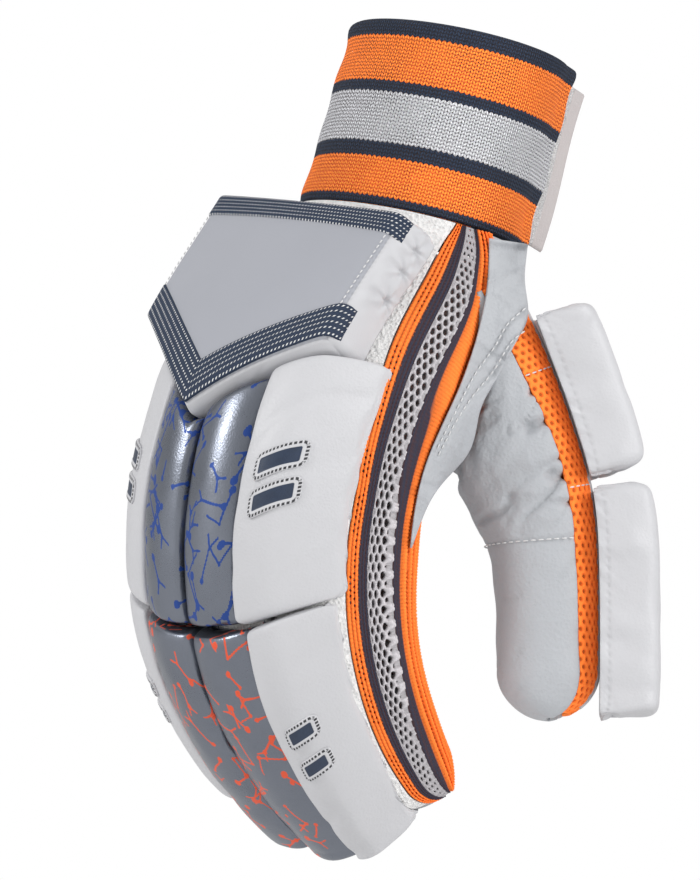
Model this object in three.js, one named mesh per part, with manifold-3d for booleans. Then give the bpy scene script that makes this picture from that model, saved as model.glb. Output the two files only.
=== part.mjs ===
// A padded cricket batting glove for the right hand, standing as a hand fills it.
// Millimetres, +Z up. The wrist opening's centre is the origin and the hand goes in
// downwards. +X is the thumb's side, -Y the back of the hand and +Y the palm.
//
// The hand is a tube along a bent mid-line. A place in it is (x, n, s): s runs down the
// mid-line from the opening, x across the hand and n from the mid-line to the palm.
import * as THREE from "three";
import { mergeVertices } from "three/addons/utils/BufferGeometryUtils.js";
import Module from "manifold-3d";

// Driving sizes.
const cuffHeight = 60;
const cuffWidth = 84;
const cuffDepth = 58;
const cuffWall = 2.6; // knitted wristband
const cuffLap = 24; // how far the wristband's ends overlap
const cuffEnd = 112; // degrees round the wrist from the back to where the free end lifts off
const cuffLift = 5; // the free end stands straight off the wrist
const cuffFlare = 16; // degrees out from the wristband's own line
const tabReach = 11; // the hook tape past the free end
const tabHeight = 52;
const tabWall = 1.4;

const handLength = 196; // wristband to the longest fingertip, along the mid-line
const palmWidth = 94;
const palmDepth = 56;
const leather = 1.6;
const backWall = 1.8; // cloth on the back of the hand
const knit = 2.2; // side gusset
const tipRadius = 12; // how round a fingertip is, seen from the side
const meshFrom = 0.26; // the open mesh in the side gusset, as shares of its width
const meshTo = 0.49;
const pleatSwell = 1.5;
const seamGap = 0.35; // between two pieces that are sewn together
const slotWidth = 3; // between two fingers
const fingerBulge = 2.2;

const guardThick = 17;
const guardTop = 18; // from the wristband to the guard's top edge
const guardSide = 62; // from the wristband to the guard's lower corners
const guardPoint = 83.5; // from the wristband to its pointed lower edge
const guardHalf = 42.5;
const guardLean = 4.5; // how far its lower end leans to the little finger's side
const guardRound = 3.5;
const guardCrown = { top: 42.5, point: 46 }; // from the mid-line to the guard's face
const guardBow = { top: 1, point: 9 }; // how far its sides bend back
const trimWall = 1;
const trimTop = 8.5;
const trimPoint = 9;

const rollThick = 17;
const rollCrown = 40.5; // from the mid-line to the rolls' ridge at the knuckles
const rollOverhang = 2; // the rolls' arch is this much wider than the hand
const rollGap = 0.6; // between two rolls side by side
const rollBreak = 2.2; // between an upper roll and its lower one
const rollLobe = 2.4; // each roll's own swell above the arch
const rollRound = 5;
const rollEdge = { upper: 0.43, lower: 0.5 }; // where inner and outer rolls meet, as shares of half the width
const rollSplit = 0.656; // where the upper rolls end, as a share of handLength
const splitRise = 9; // how much higher that is at the hand's sides
const tipOverhang = 4; // a lower roll goes this far past its fingertip
const tipCorner = 8; // how much its outer corner is rounded off
const patchWall = 0.6;

const thumbLength = 138.5;
const thumbWidth = 35;
const thumbBack = 16;
const thumbFront = 16;
const thumbTurn = 56; // degrees from +X to the plane in which the thumb bends
const thumbFacing = 43; // degrees, the way its side gusset looks
const thumbRoot = { x: palmWidth / 2 - 15, y: -1, z: -76 };
const thumbTip = 15;
const thumbPadThick = 17.4;
const thumbPadWidth = 36;
const thumbPadTop = 0.13; // where the pads start, break and end, as shares of the length
const thumbPadBreak = 0.5;
const thumbPadEnd = 0.99;
const thumbPadGap = 3;
const thumbPadRound = { across: 6, along: 5 };
const thumbPadWrap = 1.2; // how far its sides bend down round the thumb

// How far the mid-line leans towards the palm, in degrees from straight down.
const handBend = [
  { along: 0, lean: 0 },
  { along: 0.07, lean: -16 },
  { along: 0.22, lean: -20 },
  { along: 0.35, lean: -11 },
  { along: 0.46, lean: 4 },
  { along: 0.58, lean: 20 },
  { along: 0.7, lean: 36 },
  { along: 0.85, lean: 53 },
  { along: 1, lean: 66 },
];
const thumbBend = [
  { along: 0, lean: 40 },
  { along: 0.42, lean: 34 },
  { along: 0.55, lean: 24 },
  { along: 0.65, lean: 18 },
  { along: 1, lean: 15 },
];

// The hand's section: width as a share of half the palm's width, back and front as
// shares of half its depth. Square is the corner exponent, 1 for an ellipse. Arch lifts
// the middle, as a share of half the depth. The gusset lies between its two seams, in
// degrees round the section from the middle of the back.
const handShape = [
  { along: 0, width: 0.89, back: 1.02, front: 1.02, square: 0.98, arch: 0, seamBack: 59, seamPalm: 80 },
  { along: 0.06, width: 0.93, back: 0.98, front: 1, square: 0.92, arch: 0, seamBack: 54, seamPalm: 98 },
  { along: 0.14, width: 1.01, back: 0.95, front: 1.02, square: 0.74, arch: 0.05, seamBack: 51, seamPalm: 116 },
  { along: 0.26, width: 1.07, back: 0.84, front: 1, square: 0.64, arch: 0.16, seamBack: 49, seamPalm: 122 },
  { along: 0.38, width: 1.07, back: 0.7, front: 0.92, square: 0.6, arch: 0.3, seamBack: 55, seamPalm: 123 },
  { along: 0.5, width: 1.06, back: 0.63, front: 0.82, square: 0.58, arch: 0.36, seamBack: 60, seamPalm: 122 },
  { along: 0.7, width: 1.04, back: 0.63, front: 0.74, square: 0.58, arch: 0.36, seamBack: 61, seamPalm: 122 },
  { along: 0.86, width: 1, back: 0.58, front: 0.6, square: 0.6, arch: 0.3, seamBack: 61, seamPalm: 119 },
  { along: 1, width: 0.94, back: 0.52, front: 0.5, square: 0.62, arch: 0.24, seamBack: 64, seamPalm: 112 },
];
// The ball of the thumb swells the palm beside the gusset.
const thenar = { swell: 13, from: 0.02, to: 0.47, first: 122, last: 180 };

// How high the rolls' arch stands, as a share of rollCrown.
const rollArch = [
  { along: 0, crown: 0.98 },
  { along: 0.4, crown: 1 },
  { along: 0.55, crown: 1 },
  { along: 0.7, crown: 0.94 },
  { along: 0.85, crown: 0.82 },
  { along: 1, crown: 0.7 },
];

// Fingers from the thumb's side. From and to are shares of half the width, reach is the
// fingertip's share of handLength and rise lifts a finger's rolls above the others.
const fingers = [
  { name: "index", from: 0.5, to: 1, reach: 1, rise: 4, rolls: "white" },
  { name: "middle", from: 0, to: 0.5, reach: 1.01, rise: 0, rolls: "silver" },
  { name: "ring", from: -0.5, to: 0, reach: 1, rise: 0, rolls: "silver" },
  { name: "little", from: -1, to: -0.5, reach: 0.93, rise: 0, rolls: "white" },
];
const webAt = 0.5; // where the fingers part, as a share of handLength

// The thumb's section: back and front as shares of thumbBack and thumbFront.
const thumbShape = [
  { along: 0, width: 0.9, back: 0.9, front: 0.75, meshBack: 22, meshFront: 80 },
  { along: 0.2, width: 0.98, back: 1, front: 0.95, meshBack: 20, meshFront: 74 },
  { along: 0.38, width: 1.04, back: 1, front: 1.5, meshBack: 18, meshFront: 64 },
  { along: 0.52, width: 1, back: 1, front: 1.42, meshBack: 18, meshFront: 62 },
  { along: 0.66, width: 0.98, back: 1, front: 1.08, meshBack: 18, meshFront: 61 },
  { along: 1, width: 0.94, back: 0.98, front: 0.98, meshBack: 18, meshFront: 54 },
];

// Small dark windows on the outer rolls: across and along are shares of the roll.
const patchSets = [
  { roll: "index_roll_upper", across: 0.5, width: 0.48, rows: [0.425, 0.56], height: 0.105 },
  { roll: "index_roll_lower", across: 0.5, width: 0.44, rows: [0.38, 0.51], height: 0.08 },
  { roll: "little_roll_upper", across: 0.5, width: 0.48, rows: [0.425, 0.56], height: 0.105 },
  { roll: "little_roll_lower", across: 0.5, width: 0.44, rows: [0.38, 0.51], height: 0.08 },
];

const colours = {
  white: { color: 0xe4e4e6, roughness: 0.55, metalness: 0 },
  silver: { color: 0x8f959c, roughness: 0.35, metalness: 0.5 },
  face: { color: 0xb4b6bb, roughness: 0.5, metalness: 0.1 },
  navy: { color: 0x1c2236, roughness: 0.8, metalness: 0 },
  orange: { color: 0xf2741f, roughness: 0.85, metalness: 0 },
  grey: { color: 0xc9ccd2, roughness: 0.8, metalness: 0 },
  leather: { color: 0xcfd2d6, roughness: 0.6, metalness: 0 },
  mesh: { color: 0xd8d8dc, roughness: 0.85, metalness: 0 },
};

const wasm = await Module();
wasm.setup();

const rad = THREE.MathUtils.degToRad;
const lerp = THREE.MathUtils.lerp;
const bump = (t) => Math.sin(Math.PI * Math.min(Math.max(t, 0), 1));
const power = (v, k) => Math.sign(v) * Math.abs(v) ** k;
const ease = (t) => THREE.MathUtils.smoothstep(t, 0, 1);
const steps = (n) => Array.from({ length: n + 1 }, (_, i) => i / n);

// A column of a table at a place along it, on a smooth curve through its rows.
function read(table, column, along) {
  const last = table.length - 1;
  const at = Math.min(Math.max(along, 0), 1);
  const i = Math.min(Math.max(table.findIndex((row) => row.along > at) - 1, 0), last - 1);
  const k = at >= 1 ? last - 1 : i;
  const slope = (j) => {
    const a = table[Math.max(j - 1, 0)];
    const b = table[Math.min(j + 1, last)];
    return (b[column] - a[column]) / (b.along - a.along);
  };
  const span = table[k + 1].along - table[k].along;
  const t = (at - table[k].along) / span;
  const fall = (1 + 2 * t) * (1 - t) ** 2;
  return (
    table[k][column] * fall +
    table[k + 1][column] * (1 - fall) +
    span * t * (1 - t) * (slope(k) * (1 - t) - slope(k + 1) * t)
  );
}

// A bent line in a plane: its distance out, its height and its lean at each millimetre.
function bentLine(length, leanAt) {
  const line = [{ out: 0, up: 0, lean: leanAt(0) }];
  for (let s = 1; s <= Math.ceil(length) + 40; s++) {
    const lean = leanAt(s - 0.5);
    const { out, up } = line[s - 1];
    line.push({ out: out + Math.sin(lean), up: up - Math.cos(lean), lean: leanAt(s) });
  }
  return (s) => {
    const i = Math.min(Math.max(Math.floor(s), 0), line.length - 2);
    const part = (key) => lerp(line[i][key], line[i + 1][key], s - i);
    return { out: part("out"), up: part("up"), lean: part("lean") };
  };
}

const webS = cuffHeight + webAt * handLength;
const handAlong = (s) => (s - cuffHeight) / handLength;
const handLine = bentLine(cuffHeight + handLength, (s) =>
  s < cuffHeight ? (rad(handBend[0].lean) * s) / cuffHeight : rad(read(handBend, "lean", handAlong(s))),
);

function handPoint({ x, n, s }) {
  const { out, up, lean } = handLine(s);
  return new THREE.Vector3(x, out + n * Math.cos(lean), up + n * Math.sin(lean));
}

// The section's skin at an angle: 0 is the back, 90 the thumb's side, 180 the palm. Close
// pulls it to the middle level at a fingertip, inset is how deep inside the skin it lies.
function handSkin(angle, s, close = 1, inset = 0) {
  const at = handAlong(s);
  const half = (palmWidth / 2) * read(handShape, "width", at) - inset;
  const square = read(handShape, "square", at);
  const c = power(Math.cos(angle), square);
  const depth = (palmDepth / 2) * read(handShape, c > 0 ? "back" : "front", at) - inset;
  const x = half * power(Math.sin(angle), square);
  const rounded = fingerBulge * ease((s - webS + 8) / 20) * bump((Math.abs(2 * x) / half) % 1);
  const ball = bump((at - thenar.from) / (thenar.to - thenar.from));
  const swell = thenar.swell * ball * bump((angle - rad(thenar.first)) / rad(thenar.last - thenar.first));
  const out = (depth * Math.abs(c) + rounded) * close;
  return { x: x + 0.94 * swell, n: midLevel(x, s) - Math.sign(c) * out + 0.34 * swell, s };
}

function midLevel(x, s) {
  const at = handAlong(s);
  const half = (palmWidth / 2) * read(handShape, "width", at);
  return -(palmDepth / 2) * read(handShape, "arch", at) * (1 - (x / half) ** 2);
}

// The angle at which the skin passes a place across the hand, on the back.
function angleAt(x, s) {
  const at = handAlong(s);
  const half = (palmWidth / 2) * read(handShape, "width", at);
  return Math.asin(Math.min(Math.abs(x) / half, 1) ** (1 / read(handShape, "square", at))) * Math.sign(x);
}

const slotX = (share, s) => share * (palmWidth / 2) * read(handShape, "width", handAlong(s));
const tipS = (finger) => cuffHeight + finger.reach * handLength;
const sewn = seamGap / palmDepth; // half a seam's gap, as an angle

// Rows down a finger: from the wristband to the web, on to where the tip begins, and round
// the tip. All the hand's sheets share them, so that their seams fit.
function fingerRows(finger, turns, inset = 0, fromWeb = false) {
  const capS = tipS(finger) - tipRadius;
  const row = (s) => ({ s, close: 1, over: false });
  const palm = steps(9).map((t) => row(lerp(cuffHeight + seamGap, webS, t)));
  const straight = steps(6).map((t) => row(lerp(webS, capS, t)));
  const round = turns.map((turn) => ({
    s: capS + (tipRadius - inset) * Math.sin(rad(turn)),
    close: Math.abs(Math.cos(rad(turn))),
    over: turn > 90,
  }));
  return [...(fromWeb ? [] : palm), ...straight.slice(1), ...round];
}

// A solid wall of even thickness under a grid of points on its outer face.
function wall(points, thick) {
  const normal = points.map((row) => row.map(() => new THREE.Vector3()));
  for (let i = 0; i < points.length - 1; i++)
    for (let j = 0; j < points[0].length - 1; j++) {
      const down = points[i + 1][j + 1].clone().sub(points[i][j]);
      const over = points[i][j + 1].clone().sub(points[i + 1][j]);
      const face = down.cross(over).normalize();
      for (const [a, b] of [[0, 0], [0, 1], [1, 0], [1, 1]]) normal[i + a][j + b].add(face);
    }
  const under = (p, i, j) => p.clone().addScaledVector(normal[i][j].normalize(), -thick);
  return slab(
    points,
    points.map((row, i) => row.map((p, j) => under(p, i, j))),
  );
}

// A solid between two grids of points of the same size. Keep says which cells are there.
function slab(top, bottom, keep = () => true) {
  const rows = top.length;
  const columns = top[0].length;
  const real = (i, j) => i >= 0 && j >= 0 && i < rows - 1 && j < columns - 1 && keep(i, j);
  const corners = [];
  const quad = (a, b, c, d) => corners.push(a, b, c, a, c, d);
  for (let i = 0; i < rows - 1; i++)
    for (let j = 0; j < columns - 1; j++) {
      if (!real(i, j)) continue;
      quad(top[i][j], top[i + 1][j], top[i + 1][j + 1], top[i][j + 1]);
      quad(bottom[i][j], bottom[i][j + 1], bottom[i + 1][j + 1], bottom[i + 1][j]);
      if (!real(i, j - 1)) quad(top[i][j], bottom[i][j], bottom[i + 1][j], top[i + 1][j]);
      if (!real(i, j + 1)) quad(top[i + 1][j + 1], bottom[i + 1][j + 1], bottom[i][j + 1], top[i][j + 1]);
      if (!real(i - 1, j)) quad(top[i][j + 1], bottom[i][j + 1], bottom[i][j], top[i][j]);
      if (!real(i + 1, j)) quad(top[i + 1][j], bottom[i + 1][j], bottom[i + 1][j + 1], top[i + 1][j + 1]);
    }
  return facingOut(new THREE.BufferGeometry().setFromPoints(corners));
}

// A closed body through rings of points.
function loft(rings) {
  const count = rings[0].length;
  const corners = [];
  for (let i = 0; i < rings.length - 1; i++)
    for (let j = 0; j < count; j++) {
      const k = (j + 1) % count;
      corners.push(rings[i][j], rings[i + 1][j], rings[i + 1][k], rings[i][j], rings[i + 1][k], rings[i][k]);
    }
  for (const [ring, turned] of [[rings[0], false], [rings.at(-1), true]]) {
    const middle = ring.reduce((sum, p) => sum.add(p), new THREE.Vector3()).divideScalar(count);
    ring.forEach((p, j) => {
      const next = ring[(j + 1) % count];
      corners.push(...(turned ? [middle, next, p] : [middle, p, next]));
    });
  }
  return facingOut(new THREE.BufferGeometry().setFromPoints(corners));
}

// Merged, and turned round if its faces point in.
function facingOut(geometry) {
  const merged = mergeVertices(geometry, 1e-3);
  const p = merged.attributes.position;
  const index = merged.index.array;
  const [a, b, c] = [0, 0, 0].map(() => new THREE.Vector3());
  let volume = 0;
  for (let i = 0; i < index.length; i += 3) {
    [a, b, c].forEach((v, k) => v.fromBufferAttribute(p, index[i + k]));
    volume += a.dot(b.cross(c));
  }
  if (volume < 0)
    for (let i = 0; i < index.length; i += 3) [index[i + 1], index[i + 2]] = [index[i + 2], index[i + 1]];
  return merged;
}

const solidOf = (geometry) =>
  new wasm.Manifold(
    new wasm.Mesh({
      numProp: 3,
      vertProperties: new Float32Array(geometry.attributes.position.array),
      triVerts: new Uint32Array(geometry.index.array),
    }),
  );

function geometryOf(solid) {
  const { vertProperties, triVerts } = solid.getMesh();
  return new THREE.BufferGeometry()
    .setAttribute("position", new THREE.BufferAttribute(new Float32Array(vertProperties), 3))
    .setIndex(new THREE.BufferAttribute(new Uint32Array(triVerts), 1));
}

const glove = new THREE.Group();

function add(name, colour, geometry) {
  const mesh = new THREE.Mesh(geometry, new THREE.MeshStandardMaterial(colours[colour]));
  mesh.name = name;
  glove.add(mesh);
}

// The wristband is one knitted strip round the wrist. Its inner end lies under the outer
// one on the palm's side of the thumb, and the outer end stands straight off.
function cuffPoint(run, inset, z) {
  const round = Math.min(run, 0);
  const angle = rad(cuffEnd) + round;
  const under = inset + (cuffWall + tabWall + 2 * seamGap) * ease((-round - 2 * Math.PI + rad(25)) / rad(22));
  const a = cuffWidth / 2 - under;
  const b = cuffDepth / 2 - under;
  const straight = Math.max(run, 0);
  const along = new THREE.Vector2(a * Math.cos(angle), b * Math.sin(angle)).normalize();
  along.rotateAround(new THREE.Vector2(), -rad(cuffFlare));
  return new THREE.Vector3(
    a * Math.sin(angle) + along.x * straight,
    -b * Math.cos(angle) + along.y * straight,
    -z,
  );
}

function wristband() {
  const lapAngle = cuffLap / ((cuffWidth + cuffDepth) / 4);
  const runs = [...steps(44).map((t) => lerp(-2 * Math.PI - lapAngle, 0, t)), cuffLift];
  const heights = steps(2).map((t) => t * (cuffHeight - seamGap));
  add("wristband", "orange", wall(heights.map((z) => runs.map((run) => cuffPoint(run, 0, z))), cuffWall));
}

// The hook tape is sewn inside the free end and reaches past it.
function closureTab() {
  const runs = [-0.16, -0.08, 0, cuffLift, cuffLift + tabReach];
  const top = (cuffHeight - tabHeight) / 2;
  const heights = [top, top + tabHeight / 2, top + tabHeight];
  const inset = cuffWall + seamGap;
  add("closure_tab", "grey", wall(heights.map((z) => runs.map((run) => cuffPoint(run, inset, z))), tabWall));
}

// The angles of a finger's two edges on the back or, mirrored in depth, on the palm.
function fingerEdges(finger, s, palm) {
  const at = handAlong(s);
  const seam = rad(read(handShape, palm ? "seamPalm" : "seamBack", at)) + (palm ? sewn : -sewn);
  const slot = (share, side) => {
    const angle = angleAt(slotX(share, s) + (side * slotWidth) / 2, s);
    return palm ? Math.PI - angle : angle;
  };
  const outer = (sign) => (palm && sign < 0 ? 2 * Math.PI - seam : sign * seam);
  return [
    finger.to === 1 ? outer(1) : slot(finger.to, -1),
    finger.from === -1 ? outer(-1) : slot(finger.from, 1),
  ];
}

// The back or the palm in one sheet: it is cut between the fingers below the web.
function handSheet(palm, thick, cells, turns) {
  const skin = (inset) => {
    const rows = fingers.map((finger) => fingerRows(finger, turns, inset));
    return rows[0].map((_, i) =>
      fingers.flatMap((finger, f) => {
        const { s, close, over } = rows[f][i];
        const [a, b] = fingerEdges(finger, s, over !== palm);
        return steps(cells).map((t) => handPoint(handSkin(lerp(a, b, t), s, close, inset)));
      }),
    );
  };
  return slab(skin(0), skin(thick), (i, j) => i < 9 || (j + 1) % (cells + 1) !== 0);
}

// The knitted side piece, from the wristband to the fingertip, between two shares of its
// width. Pleats swell the palm's edge.
function gusset(side, from, to, cells, pleats = 0) {
  const finger = side > 0 ? fingers[0] : fingers[3];
  const skin = (inset) =>
    fingerRows(finger, [25, 50, 76], inset).map(({ s, close }) => {
      const at = handAlong(s);
      const back = rad(read(handShape, "seamBack", at)) + sewn;
      const front = rad(read(handShape, "seamPalm", at)) - sewn;
      const first = lerp(back, front, from) + (from > 0 ? sewn : 0);
      const last = lerp(back, front, to) - (to < 1 ? sewn : 0);
      return steps(cells).map((t) => {
        const place = handSkin(lerp(first, last, t) * side, s, close, inset);
        place.x += side * pleats * bump(t) * (0.6 + 0.4 * Math.cos((s - cuffHeight) / 9)) * close;
        return handPoint(place);
      });
    });
  return slab(skin(0), skin(knit));
}

// The wall between two fingers: down the side of one, round the web, down the other.
function fourchette(left, right) {
  const under = leather + seamGap;
  const rowsOf = (finger) => fingerRows(finger, [25, 50, 65], under + 0.4, true);
  const lines = [];
  const pushRow = (x, { s, close }) => {
    const angle = angleAt(x, s);
    const level = midLevel(x, s);
    const back = handSkin(angle, s, close).n + backWall + 2 * seamGap;
    const front = handSkin(Math.PI - angle, s, close).n - under - seamGap;
    const shrink = 1 - 0.12 * (1 - close);
    lines.push(
      steps(2).map((t) => handPoint({ x, n: level + (lerp(back, front, t) - level) * shrink, s })),
    );
  };
  rowsOf(left).reverse().forEach((row) => pushRow(slotX(left.from, row.s) + slotWidth / 2, row));
  for (const turn of [30, 60, 90, 120, 150]) {
    const s = webS + seamGap + slotWidth * (1 - Math.sin(rad(turn)));
    pushRow(slotX(left.from, s) + (slotWidth / 2) * Math.cos(rad(turn)), { s, close: 1 });
  }
  rowsOf(right).forEach((row) => pushRow(slotX(right.to, row.s) - slotWidth / 2, row));
  return wall(lines, knit / 1.6);
}

// Places across a pad, closer together where its edges are round. Ends gives their
// distances from the pad's far edge where it bends round a fingertip.
function padLines(length, round, cells, ends) {
  const near = [0, 0.3, 1].map((t) => t * Math.min(round, length / 3));
  const far = ends ?? near.toReversed();
  const middle = steps(cells).slice(1, -1).map((t) => lerp(near[2], length - far[0], t));
  return [...near, ...middle, ...far.map((d) => length - d)].map((d) => d / length);
}

const overEdge = (distance, round, low) =>
  low + (1 - low) * Math.sqrt(Math.max(1 - (1 - Math.min(distance / round, 1)) ** 2, 0));

// A stuffed pad over the hand. Outline gives the place at shares across and along it,
// skin the level that it rests on and face the level of its top.
function handPad({ outline, skin, face, thick, round, width, length, low, cells, ends }) {
  const across = padLines(width, round, cells[0]);
  const along = padLines(length, round, cells[1], ends);
  const both = along.map((v) =>
    across.map((u) => {
      const { x, s } = outline(u, v);
      const high = face(x, s, u);
      const base = Math.min(skin(x, s), high + thick);
      const soft =
        overEdge(Math.min(u, 1 - u) * width, round, low) * overEdge(Math.min(v, 1 - v) * length, round, low);
      return [handPoint({ x, n: base - (base - high) * soft, s }), handPoint({ x, n: base, s })];
    }),
  );
  const grid = (k) => both.map((row) => row.map((pair) => pair[k]));
  return slab(grid(0), grid(1));
}

const restLevel = (x, s) => handSkin(angleAt(x, s), s).n - seamGap;

// The big shield over the wrist bones: straight on top and pointed below.
const guardStart = cuffHeight + guardTop;
const guardEnd = (x) => cuffHeight + lerp(guardPoint, guardSide, Math.abs(x + guardLean) / guardHalf);
const guardFace = (x, s) => {
  const t = (s - guardStart) / (guardPoint - guardTop);
  const bow = lerp(guardBow.top, guardBow.point, t);
  const across = (x + guardLean * t) / guardHalf;
  return bow * across ** 2 - lerp(guardCrown.top, guardCrown.point, t);
};

// A place on the shield at shares across and along it.
function guardOutline(u, v) {
  const x = lerp(-guardHalf, guardHalf, u);
  return { x: x - guardLean * v, s: lerp(guardStart, guardEnd(x - guardLean), v) };
}

function wristGuard() {
  const skin = (x, s) => (Math.abs(x) < palmWidth * 0.4 ? restLevel(x, s) : Infinity);
  add(
    "wrist_guard",
    "face",
    handPad({
      outline: guardOutline,
      skin,
      face: guardFace,
      thick: guardThick,
      round: guardRound,
      width: 2 * guardHalf,
      length: guardPoint - guardTop,
      low: 0.8,
      cells: [8, 5],
    }),
  );
}

// A flat band sewn on the guard's face, between two distances down it.
function guardTrim(name, first, last) {
  const inside = guardRound / (2 * guardHalf);
  const grid = (lift) =>
    [first, last].map((edge) =>
      steps(10).map((t) => {
        const u = lerp(inside, 1 - inside, t);
        const length = guardOutline(u, 1).s - guardStart;
        const { x, s } = guardOutline(u, edge(length) / length);
        return handPoint({ x, n: guardFace(x, s) - lift, s });
      }),
    );
  add(name, "navy", slab(grid(seamGap + trimWall), grid(seamGap)));
}

// The rolls' common arch, with each roll's own swell on it.
function rollFace(finger, x, s, u) {
  const at = handAlong(s);
  const half = (palmWidth / 2) * read(handShape, "width", Math.min(at, 1)) + rollOverhang;
  const arch = rollCrown * read(rollArch, "crown", at) * Math.sqrt(Math.max(1 - (x / half) ** 2, 0));
  return -arch - finger.rise - rollLobe * bump(u);
}

function rollSkin(finger, x, s) {
  const capS = tipS(finger) - tipRadius;
  const past = Math.min(Math.max((s - capS) / tipRadius, 0), 1);
  const clear = seamGap + 0.5 * ease((s - capS + 12) / 16);
  return handSkin(angleAt(x, s), s, Math.sqrt(1 - 0.92 * past ** 2)).n - clear;
}

function rollOutline(finger, upper) {
  const tipEnd = tipS(finger) + tipOverhang;
  const inside = rollGap / 2;
  const edge = 2 * (upper ? rollEdge.upper : rollEdge.lower);
  return (u, v) => {
    const middle = (tipEnd + webS) / 2;
    const half = (palmWidth / 2) * read(handShape, "width", handAlong(upper ? webS : middle));
    const outer = half * 0.925;
    const a = finger.to === 1 ? outer : edge * finger.to * half - inside;
    const b = finger.from === -1 ? -outer : edge * finger.from * half + inside;
    const x = lerp(a, b, u);
    const split = cuffHeight + rollSplit * handLength - splitRise * (x / half) ** 2;
    const from = upper ? guardEnd(x) + rollBreak : split + rollBreak / 2;
    const to = upper ? split - rollBreak / 2 : tipEnd - tipCorner * (x / half) ** 4;
    const s = lerp(from, to, v);
    return { x: upper ? x : x * (1 - 0.1 * ((s - split) / (handLength - rollSplit * handLength)) ** 3), s };
  };
}

function fingerRoll(finger, upper) {
  const outline = rollOutline(finger, upper);
  const [first, last] = [outline(0.5, 0), outline(0.5, 1)];
  add(
    `${finger.name}_roll_${upper ? "upper" : "lower"}`,
    finger.rolls,
    handPad({
      outline,
      skin: (x, s) => rollSkin(finger, x, s),
      face: (x, s, u) => rollFace(finger, x, s, u),
      thick: rollThick + finger.rise,
      round: rollRound,
      width: outline(0, 0.5).x - outline(1, 0.5).x,
      length: last.s - first.s,
      low: finger.rolls === "white" ? 0.5 : 0.6,
      cells: [3, 5],
      ends: upper ? undefined : [4, 3, 2.25, 1.6, 1.1, 0.4, 0].map((d) => d * tipOverhang),
    }),
  );
}

// Two thin windows on a white roll, following its face.
function patches({ roll, across, width, rows, height }) {
  const [name, , level] = roll.split("_");
  const finger = fingers.find((f) => f.name === name);
  const outline = rollOutline(finger, level === "upper");
  rows.forEach((row, i) => {
    const grid = (lift) =>
      steps(1).map((v) =>
        steps(4).map((t) => {
          const u = across + width * (t - 0.5);
          const { x, s } = outline(u, row + height * (v - 0.5));
          return handPoint({ x, n: rollFace(finger, x, s, u) - lift, s });
        }),
      );
    add(`${roll}_patch_${i + 1}`, "navy", slab(grid(seamGap + patchWall), grid(seamGap)));
  });
}

// The thumb has its own bent line, in an upright plane turned from +X.
const thumbLine = bentLine(thumbLength, (s) => rad(read(thumbBend, "lean", s / thumbLength)));

function thumbFrame(s) {
  const { out, up, lean } = thumbLine(s);
  const turn = rad(thumbTurn);
  const way = new THREE.Vector3(Math.cos(turn), Math.sin(turn), 0);
  const along = way.clone().multiplyScalar(Math.sin(lean)).add(new THREE.Vector3(0, 0, -Math.cos(lean)));
  const side = new THREE.Vector3(Math.sin(rad(thumbFacing)), -Math.cos(rad(thumbFacing)), 0);
  side.addScaledVector(along, -side.dot(along)).normalize();
  const back = side.clone().cross(along).normalize();
  const centre = new THREE.Vector3(thumbRoot.x, thumbRoot.y, thumbRoot.z + up).addScaledVector(way, out);
  return { centre, side, back: back.dot(way) < 0 ? back.negate() : back };
}

// Angle 0 is the thumb's back, 90 the side with the visible gusset, 180 the ball.
function thumbSkin(angle, s, close = 1, inset = 0) {
  const at = s / thumbLength;
  const { centre, side, back } = thumbFrame(s);
  const c = power(Math.cos(angle), 0.85);
  const deep =
    c > 0 ? thumbBack * read(thumbShape, "back", at) : thumbFront * read(thumbShape, "front", at);
  const wide = (thumbWidth / 2) * read(thumbShape, "width", at);
  const narrow = 0.55 + 0.45 * close;
  return centre
    .clone()
    .addScaledVector(back, (deep - inset) * c * close)
    .addScaledVector(side, (wide - inset) * power(Math.sin(angle), 0.85) * narrow);
}

// A strip of the thumb between two lines down it, from its root and round its tip.
function thumbStrip(fromAngle, toAngle, cells, thick, turns) {
  const capS = thumbLength - thumbTip;
  const gap = seamGap / thumbWidth;
  const skin = (inset) => {
    const rows = [
      ...steps(11).map((t) => ({ s: lerp(4, capS, t), close: 1, over: false })),
      ...turns.map((turn) => ({
        s: capS + (thumbTip - inset) * Math.sin(rad(turn)),
        close: Math.abs(Math.cos(rad(turn))),
        over: turn > 90,
      })),
    ];
    return rows.map(({ s, close, over }) =>
      steps(cells).map((t) => {
        const at = s / thumbLength;
        const angle = lerp(fromAngle(at) + gap, toAngle(at) - gap, t);
        return thumbSkin(over ? Math.PI - angle : angle, s, close, inset);
      }),
    );
  };
  return slab(skin(0), skin(thick));
}

const handVolume = (grow) => {
  const ring = (s) =>
    steps(40)
      .slice(0, -1)
      .map((t) => {
        const place = handSkin(2 * Math.PI * t, s);
        const level = midLevel(place.x, s);
        const more = (v, half) => v * (1 + grow / half);
        const n = level + more(place.n - level, palmDepth / 2.6);
        return handPoint({ x: more(place.x, palmWidth / 2), n, s });
      });
  return solidOf(loft(steps(14).map((t) => ring(lerp(cuffHeight - 6, webS + 14, t)))));
};

const thumbHollow = () => {
  const ring = (s) => steps(28).slice(0, -1).map((t) => thumbSkin(2 * Math.PI * t, s, 1, leather + 0.6));
  return solidOf(loft(steps(10).map((t) => ring(lerp(2, thumbLength * 0.62, t)))));
};

// The largest body of a solid, without the scraps that a cut leaves.
const mainBody = (solid) =>
  solid.decompose().reduce((best, body) => (body.volume() > best.volume() ? body : best));

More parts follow.
